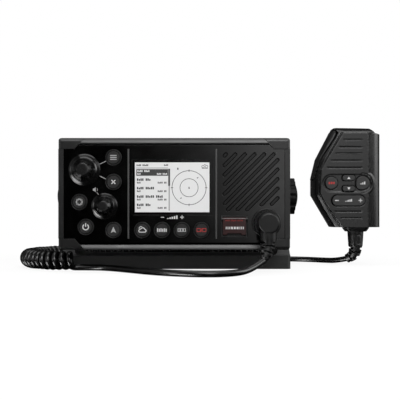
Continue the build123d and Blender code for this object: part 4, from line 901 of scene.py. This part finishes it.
rocker_marks += stairs(150.1, width=0.9, pitch=1.3, low=57.2, high=57.9, rise=0.45, count=5, front=grip)
make("mic_volume_signs", rocker_marks, "mic_key_rubber", "mic_rocker_body", ink_white)

# %% [markdown]
# ## Rails and corner caps
# A satin rail runs along the top and the bottom of the panel, and a cap closes each corner. Their
# faces are crowned, so that light from above draws one soft line along them. Such a bar is a stack
# of level rings: each runs from left to right along the crowned front and back behind.

# %% Upright forms
def upright(levels, left, right, front, rear, columns):
    """At each level z, a ring from left to right at y = front(x, z), then back again at y = rear."""
    share = np.linspace(0, 1, columns)
    x = left[:, None] + (right - left)[:, None] * share
    z = levels[:, None] + 0 * x
    near = np.stack([x, front(x, z), z], -1)
    far = np.stack([x, rear(x, z) if callable(rear) else rear + 0 * x, z], -1)[:, ::-1]
    return shell(np.concatenate([near, far], 1) * mm)


panel_top, panel_bottom, rail_high = 105.9, 17.9, 5.4
crest, seat = -68.0, -65.6    # y of the crown's foremost line, and of the back
seam_outer, seam_slope, cap_high, half_panel = 70.4, 0.8736, 8.7, 91.0
print("panel:", 2 * half_panel, "by", panel_top - panel_bottom, "mm")


def crown(down):
    """The drop behind the crest by the share of the way down: a long easy turn above, a tight one below."""
    above_crest = 1.2 * held(1 - down / 0.8) ** 1.6 + 1.0 * held(1 - down / 0.1) ** 2
    below_crest = 1.5 * held((down - 0.8) / 0.2) ** 2
    return above_crest + below_crest


# %% The two rails
def rail(name, top, from_edge, lower, groove):
    """A bar whose ends lean with the caps' seams, further out away from the panel's edge.

    Its crown starts lower by a share of its height, and a groove of this depth lies above that.
    """
    def face(x, z):
        down = (top - z) / rail_high
        return crest + crown(down - lower) + groove * held((0.24 - down) / 0.03)

    reach = seam_outer + seam_slope * rail_high * from_edge
    form = upright(top - rail_high * way_down, -reach, reach, face, seat, columns=3)
    piece = make(name + "_crowned", [form], "rail_satin", "radio")
    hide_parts(name)


way_down = np.linspace(0, 1, 28)
rail("top_rail", panel_top, way_down, lower=0.0, groove=0.0)
rail("bottom_rail", panel_bottom + rail_high, 1 - way_down, lower=0.14, groove=1.2)

# %% The four corner caps
side_round = 2.6           # how far in the side edge's turn reaches


def cap_face(x, z):
    """The cube root of the sum of the cubes of two drops: over the top or bottom edge, and over the side."""
    from_edge = np.minimum(panel_top - z, z - panel_bottom)
    from_side = half_panel - np.abs(x)
    over_edge = 2.25 * held(1 - from_edge / 3.2) ** 3
    over_side = 1.6 * held(1 - from_side / side_round) ** 3
    return crest + np.minimum((over_edge**3 + over_side**3) ** (1 / 3), 2.3)


caps = []
inward = np.concatenate([np.linspace(0, side_round, 14), np.linspace(2.8, cap_high, 22)])
corner_in = side_round - np.sqrt(side_round**2 - np.clip(side_round - inward, 0, side_round) ** 2)
for side in (-1, 1):
    for edge, way in ((panel_top, -1), (panel_bottom, 1)):
        inner = side * (seam_outer + 0.15 + seam_slope * inward)
        outer = side * (half_panel - corner_in)
        ends = (inner, outer) if side > 0 else (outer, inner)
        caps.append(upright(edge + way * inward, *ends, cap_face, seat, columns=36))
piece = make("corner_caps_crowned", caps, "rail_satin", "radio")
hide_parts("corner_caps")

# %% [markdown]
# ## Knobs
# Each knob has a sloping skirt with fine grooves, a waist that draws in towards the finger's end, a
# rim and a sloping facet round its flat face. It is round all over, so it is one profile turned
# about the shaft, which leaves no joints to hide.

# %% Turned forms
def turned(profile, middle, sides=96):
    """Each point (radius, y) of the profile becomes a ring: x = radius cos a, z = radius sin a."""
    radius, level = np.asarray(profile, float).T
    angle = full_turn(sides)
    x = middle[0] + radius[:, None] * np.cos(angle)
    z = middle[1] + radius[:, None] * np.sin(angle)
    return shell(np.stack([x, level[:, None] + 0 * x, z], -1) * mm)


def knob(name, middle, radius, flat, body):
    """A grooved skirt, a waist r = bottom - (bottom - top) s^0.7, a rim, a facet and a flat end."""
    back, front = -68.2, -78.8
    slope, skirt = 0.55, 2.5
    level = back - 0.5
    profile = [(radius - 0.4, back), (radius, back - 0.2), (radius, level + 0.1), (radius - 0.15, level)]
    for out in (radius - 0.95, radius - 1.8):
        rise = level - slope * (radius - out)
        profile += [(out, rise), (out - 0.02, rise + 0.6), (out - 0.28, rise + 0.6), (out - 0.3, rise - 0.16)]
    bottom, top = radius - skirt, flat + 1.9
    level = level - slope * skirt
    profile += [(bottom + 0.05, level), (bottom, level + 0.3)]
    share = np.linspace(0, 1, 16)
    profile += list(zip(bottom - (bottom - top) * share**0.7, level - share * (level - front - 3.1)))
    profile += [(top + 0.1, front + 3.0), (top, front + 2.8)]
    profile += [(flat + 0.1, front + 0.05), (flat - 0.1, front), (0.5 * flat, front)]
    piece = make(name + "_turned", [turned(profile, middle)], "knob_plastic", body, sharp=25)
    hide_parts(name)


knob("channel_knob", (-70.3, 80.7), radius=12.4, flat=4.5, body="channel_dial")
knob("volume_knob", (-54.6, 52.1), radius=10.3, flat=3.7, body="volume_dial")

# %% [markdown]
# ## Cloth behind the sound slots
# The slots run up to the right at 45 degrees. Dust cloth lies a millimetre behind the fascia, so
# each slot shows as a shallow channel whose dark edge is partly its real shade and partly painted shade.

# %% One strip of cloth in each slot
slot_left, slot_right, slot_low, slot_high = 38.3, 82.2, 48.4, 94.1
slot_pitch, slot_width, socket_keep_off = 7.5, 2.9, 14.2
socket_at = (72.3, 39.0)
diagonal = math.sqrt(2)


def pill(low_end, high_end, width, front):
    """A strip at 45 degrees with round ends."""
    first = arc(low_end, width / 2, 135, 315, 10)
    second = arc(high_end, width / 2, -45, 135, 10)
    return plate(np.concatenate([first, second]), front, 0.3 * mm)


strips = []
cloth_front, cloth_gap = -66.5 * mm, 0.04
for index in range(12):
    shift = slot_left - slot_high + slot_pitch * (index + 0.45)    # x - z along the slot's middle
    low_x = max(slot_left, slot_low + shift)
    high_x = min(slot_right, slot_high + shift)
    from_socket = abs(socket_at[0] - socket_at[1] - shift) / diagonal
    if from_socket < socket_keep_off:
        half_chord = math.sqrt(socket_keep_off**2 - from_socket**2) / diagonal
        low_x = max(low_x, (sum(socket_at) + shift) / 2 + half_chord)
    trim = slot_width / 2 / diagonal
    if (high_x - low_x) * diagonal > 1.5 * slot_width:
        ends = [(x, x - shift) for x in (low_x + trim, high_x - trim)]
        strips.append(pill(*ends, slot_width - cloth_gap, cloth_front))
make("slot_cloth", strips, "screen_cloth", "radio")

# %% [markdown]
# ## Boots
# A boot keeps the cord from kinking at its end. It is a tapering rubber tube cut by short slots on
# alternate sides, so that it bends evenly: its radius is a function of the distance along it and of
# the angle round it.

# %% Slotted boots
def boot(route, taper, pitch, first, last, depth, sides=40):
    """The taper's radius less depth where a slot lies: a pulse along each pitch, times one round the tube.

    The pulse round it comes from the square of the angle's cosine, a quarter on for every second slot.
    """
    path = even_line(np.array(route) * mm, 0.25 * mm)
    far = travelled(path) / mm
    share = (far - first) / pitch
    inside = (far > first) & (far < last)
    pulse = held((0.30 - np.abs(share % 1 - 0.5)) / 0.08) * inside
    angle = full_turn(sides)
    quarter = (np.floor(share) % 2 * math.pi / 2)[:, None]
    reach = held((np.cos(angle + quarter) ** 2 - 0.25) / 0.2)
    radius = taper(np.linspace(0, 1, len(path)))[:, None] - depth * pulse[:, None] * reach
    forward = np.array([0.0, -1.0, 0.0])
    return shell(tube(path, radius * mm, forward, sides))


def plug_taper(far):
    """From 6.15 mm down by a slope and a cube, and in again at the lip."""
    return 6.15 - 1.2 * far - 1.9 * far**3 - 0.9 * held((far - 0.93) / 0.07)


plug_route = [(72.3, -84.5, 27.2), (72.3, -84.5, 22.0), (70.6, -86.2, 15.8), (68.2, -88.4, 11.0)]
tapered = boot(plug_route, plug_taper, pitch=2.7, first=1.9, last=16.2, depth=1.3)
plug_boot = make("plug_boot_slotted", [tapered], "boot_rubber", "radio", sharp=30)
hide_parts("plug_boot")

# %% The handset's boot: collar, barrel and slotted end
def rounded(width, depth, corner):
    """A rounded rectangle round the handset boot's middle: a quarter turn at each corner."""
    x, y = width / 2 - corner, depth / 2 - corner
    corners = enumerate([(x, y), (-x, y), (-x, -y), (x, -y)])
    turns = [arc(middle, corner, 90 * count, 90 * count + 90, 12) for count, middle in corners]
    return np.concatenate(turns) + (boot_x, boot_y)


boot_x, boot_y = 162.7, 27.0
# level, width and depth of each ring of the collar
collar = ((34.4, 22.6, 16.8), (33.4, 22.6, 16.8), (31.0, 19.4, 14.8), (30.3, 18.2, 14.2), (30.2, 15.0, 13.0))
collar_rings = []
for level, width, depth in collar:
    collar_rings.append(np.insert(rounded(width, depth, corner=4.0), 2, level, axis=1) * mm)
# The barrel tapers, an oval groove is cut into its front, and its lower rim turns in
barrel_turn = full_turn(64)
barrel_z = np.linspace(30.4, 16.4, 57)[:, None]
window = np.hypot((np.degrees(barrel_turn)[None] - 285) / 24, (barrel_z - 23.2) / 4.2)
groove = 0.35 * held(1 - np.abs(window - 1) / 0.16)
fall = held((30.4 - barrel_z) / 14)
barrel_radius = 7.3 - 0.9 * fall - groove - 0.8 * held((17.2 - barrel_z) / 0.8) ** 2
barrel_x = boot_x + barrel_radius * np.cos(barrel_turn)
barrel_y = boot_y + barrel_radius * np.sin(barrel_turn)
barrel = shell(np.stack([barrel_x, barrel_y, barrel_z + 0 * barrel_x], -1) * mm)


def flex_taper(far):
    """From 6.1 mm down by a slope and a square."""
    return 6.1 - 1.3 * far - 0.9 * far**2


flex_route = [(162.7, 27.0, 17.2), (162.6, 27.1, 12.6), (160.6, 28.2, 7.6), (155.4, 30.6, 5.2)]
flex = boot(flex_route, flex_taper, pitch=3.0, first=0.8, last=14.2, depth=1.5)
forms = [shell(np.stack(collar_rings)), barrel, flex]
mic_boot = make("mic_boot_slotted", forms, "boot_rubber", "bracket", sharp=30)
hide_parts("mic_boot")

# %% The cord's placement, baked into its points
print("free cord:", curly_cord.name, "with", plug_boot.name, "and", mic_boot.name)
across_cord = np.array([0.4, -1.0, 0.0])
across_cord = across_cord / (across_cord @ across_cord)
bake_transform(curly_cord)

# %% [markdown]
# ## The handset's front
# The front half of the fist microphone has a flat face with long grip lines, a shallow pocket
# round the upper keys and a ring round the round one, and its sides fall away in soft rolls. It
# could be sculpted, but its lines are even, so it is worked out as a landscape: one function gives
# the depth behind the face at each place, and level rings carry it from edge to edge. Where a key
# or the talk lever works, the landscape drops to a well, which leaves them room.

# %% Distances, channels and edges
handset_at = (150.0, 34.3)
face_y, split_y = 12.0, 27.0
lever_front = 16.9         # the talk lever works behind the face's wall


def along_segment(u, v, first, last):
    """Distance from (u, v) to the segment between two points."""
    first, last = np.array(first, float), np.array(last, float)
    way = last - first
    share = held(((u - first[0]) * way[0] + (v - first[1]) * way[1]) / (way @ way))
    return np.hypot(u - first[0] - share * way[0], v - first[1] - share * way[1])


def cut(distance, reach, soft, depth):
    """A channel: full depth within the reach, and a slope of the soft width at its edge."""
    return depth * held((reach - distance) / soft + 0.5)


def rounded_distance(u, v, middle, width, height, corner):
    """Distance outside a rounded rectangle, negative inside."""
    across = np.abs(u - middle[0]) - width / 2 + corner
    up = np.abs(v - middle[1]) - height / 2 + corner
    outside = np.hypot(np.clip(across, 0, None), np.clip(up, 0, None))
    return outside + np.minimum(np.maximum(across, up), 0) - corner


# Each level is a height above the handset's foot, and each edge is how far right of its middle
edge_levels = [0, 15.6, 29.0, 43.2, 62.1, 88.0, 89.9]
edge_left = [-10.2, -20.3, -27.2, -27.3, -22.9, -9.3, -8.4]
side_levels = [0, 84.0, 84.5, 89.2, 89.9]
edge_right = [33.7, 33.7, 27.8, 22.9, -8.0]
face_levels = [0, 30.3, 41.0, 51.6, 84.6, 89.9]
face_left = [-1.9, -21.9, -21.6, -21.0, -1.0, 2.0]
hinge_level, swing = 80.7, 0.07    # the talk lever's hinge, and its swing when pressed
lever_levels = np.array([42.6, 59.4, 77.2, 83.6, 88.2])
lever_inner = np.array([-24.6, -20.9, -3.4, 1.4])
print("handset:", max(edge_right) - min(edge_left), "by", edge_levels[-1], "mm")


def pressed_edge(v):
    """The pressed lever's inner edge at each level: further in by the swing times the way down."""
    inner = lever_inner + (hinge_level - lever_levels[:-1]) * swing
    return np.interp(v, lever_levels, [*inner, -9.0])


def cheek(v):
    """The shell's edge beside the lever at each level: the lever swings in under it."""
    return np.interp(v, [42.6, 54.7, 61.0, 79.7, 85.0, 88.2], [-26.6, -23.0, -21.2, -8.2, -5.6, -8.6])


# %% The landscape of the face
round_key, red_key = (15.8, 39.6), (-12.1, 39.6)
up_key, down_key, volume_key = (3.3, 44.2), (3.3, 34.7), (3.1, 23.9)
side_seam, grip_end, grip_pitch = 21.3, 14.9, 6.2
grip_lines = ((78.3, -0.9, -3.6, 5), (14.2, -8.2, 5.3, 2))    # top level, start, its lean, how many


def handset_depth(x, z):
    """The left, right and top falls joined by the fourth root of the sum of their fourth powers.

    The deepest of the seams, the pocket and the grooves is added, and the wells are cut last.
    """
    u, v = x - handset_at[0], z - handset_at[1]
    left = np.interp(v, edge_levels, edge_left)
    inner = np.interp(v, face_levels, face_left)
    q = held((u - left) / (inner - left))
    chamfer = 3.4 * (1 - q) + 5.8 * held(1 - q / 0.34) ** 1.6
    from_left = chamfer + 0.7 * np.exp(-(((q - 0.84) / 0.07) ** 2)) * (q < 1)
    p = held((u - side_seam) / 12.4)
    from_right = 3.4 * p + 7.5 * p**6
    from_top = 7.5 * held((v - 84.4) / 5.5) ** 1.8
    fall = (from_left**4 + from_right**4 + from_top**4) ** 0.25
    bulge = np.hypot(u - round_key[0], v - round_key[1])
    fall = fall * held((bulge - 10.2) / 1.3)
    keys = [np.hypot(u - red_key[0], v - red_key[1]) - 5.6, bulge - 6.2]
    keys += [rounded_distance(u, v, middle, 11.2, 4.9, 1.9) for middle in (up_key, down_key)]
    keys.append(rounded_distance(u, v, volume_key, 29.0, 9.2, 4.5))
    nearest = np.minimum.reduce(keys)
    seam_gap = np.abs(u - side_seam) + 9 * (v > 84) + 9 * (bulge < 10)
    lines = [
        cut(seam_gap, 0.35, 0.3, 0.5),
        cut(np.abs(bulge - 8.6), 0.35, 0.35, 0.45) * (u > 15),
        cut(along_segment(u, v, red_key, round_key), 7.8, 0.5, 0.55),
        cut(nearest, 0.55, 0.5, 0.8),
    ]
    for top, start, lean, count in grip_lines:
        for step in range(count):
            level = top - grip_pitch * step
            apart = along_segment(u, v, (start + lean * step, level), (grip_end, level))
            lines.append(cut(apart, 0.55, 0.4, 0.8))
    wells = nearest < 0.2
    wells |= (v > 42.2) & (v < 88.2) & (u < cheek(v))
    return np.where(wells, split_y - face_y - 0.6, fall + np.maximum.reduce(lines))


def handset_face(x, z):
    """The y of the front at each place."""
    return face_y + handset_depth(x, z)


def handset_inside(x, z):
    """A wall's thickness behind the face, and solid to the split round the edge."""
    u, v = x - handset_at[0], z - handset_at[1]
    from_left = u - np.interp(v, edge_levels, edge_left)
    from_right = np.interp(v, side_levels, edge_right) - u
    from_edge = np.minimum.reduce([from_left, from_right, v, edge_levels[-1] - v])
    front = handset_face(x, z)
    beside_lever = (v > 42.0) & (v < 88.4) & (u > cheek(v)) & (u < pressed_edge(v) + 0.8)
    back = front + np.where((from_edge < 2.2) & ~beside_lever, 20.0, 2.0)
    back = np.where(beside_lever, np.maximum(np.minimum(back, lever_front - 0.4), front + 0.3), back)
    return np.minimum(back, split_y)


print("grip lines:", sum(count for *_, count in grip_lines))

# %% The handset's front as a stack of rings
levels = np.concatenate([np.linspace(0, 84.0, 236), np.linspace(84.1, 89.85, 24)])
left_edge = handset_at[0] + np.interp(levels, edge_levels, edge_left)
right_edge = handset_at[0] + np.interp(levels, side_levels, edge_right)
levels = levels + handset_at[1]
shell_front = upright(levels, left_edge, right_edge, handset_face, handset_inside, columns=150)
piece = make("mic_front_carved", [shell_front], "mic_plastic", "bracket", sharp=50)
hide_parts("mic_front_shell")

# %% The talk lever
lever_ends = [42.6, 43.8, 62.1, 87.6]
lever_outer = [-24.8, -27.3, -22.9, -9.6]
roll_from = [-24.8, -27.4, -22.9, -9.6]
lever_back = 38.6


def lever_face(x, z):
    """Rolled at the outer edge, a little deeper towards the shell's cheek, with ribs across its lower end."""
    u, v = x - handset_at[0], z - handset_at[1]
    left = np.interp(v, lever_ends, roll_from)
    shown = np.maximum(cheek(v) - left, 0.8)
    share = np.clip((u - left) / shown, 0, 1.2)
    roll = 3.0 * held(1 - share / 0.75) ** 2.5
    hollow = 0.5 * held((share - 0.7) / 0.3)
    ribs = 0.6 * held(np.cos((v - 43) * 2 * math.pi / 3.4)) * (v < 56)
    return lever_front + roll + hollow + ribs


levels = np.concatenate([np.linspace(42.7, 60.0, 70), np.linspace(60.3, 87.5, 60)])
left_edge = handset_at[0] + np.interp(levels, lever_ends, lever_outer)
inner_ends = [*lever_levels[:-1], lever_ends[-1]]
right_edge = handset_at[0] + np.interp(levels, inner_ends, [*lever_inner[:-1], 1.3, -9.5])
lever = upright(levels + handset_at[1], left_edge, right_edge, lever_face, lever_back, columns=30)
piece = make("ptt_lever_ridged", [lever], "ptt_rubber", "ptt_body", sharp=45)
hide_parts("ptt_lever")
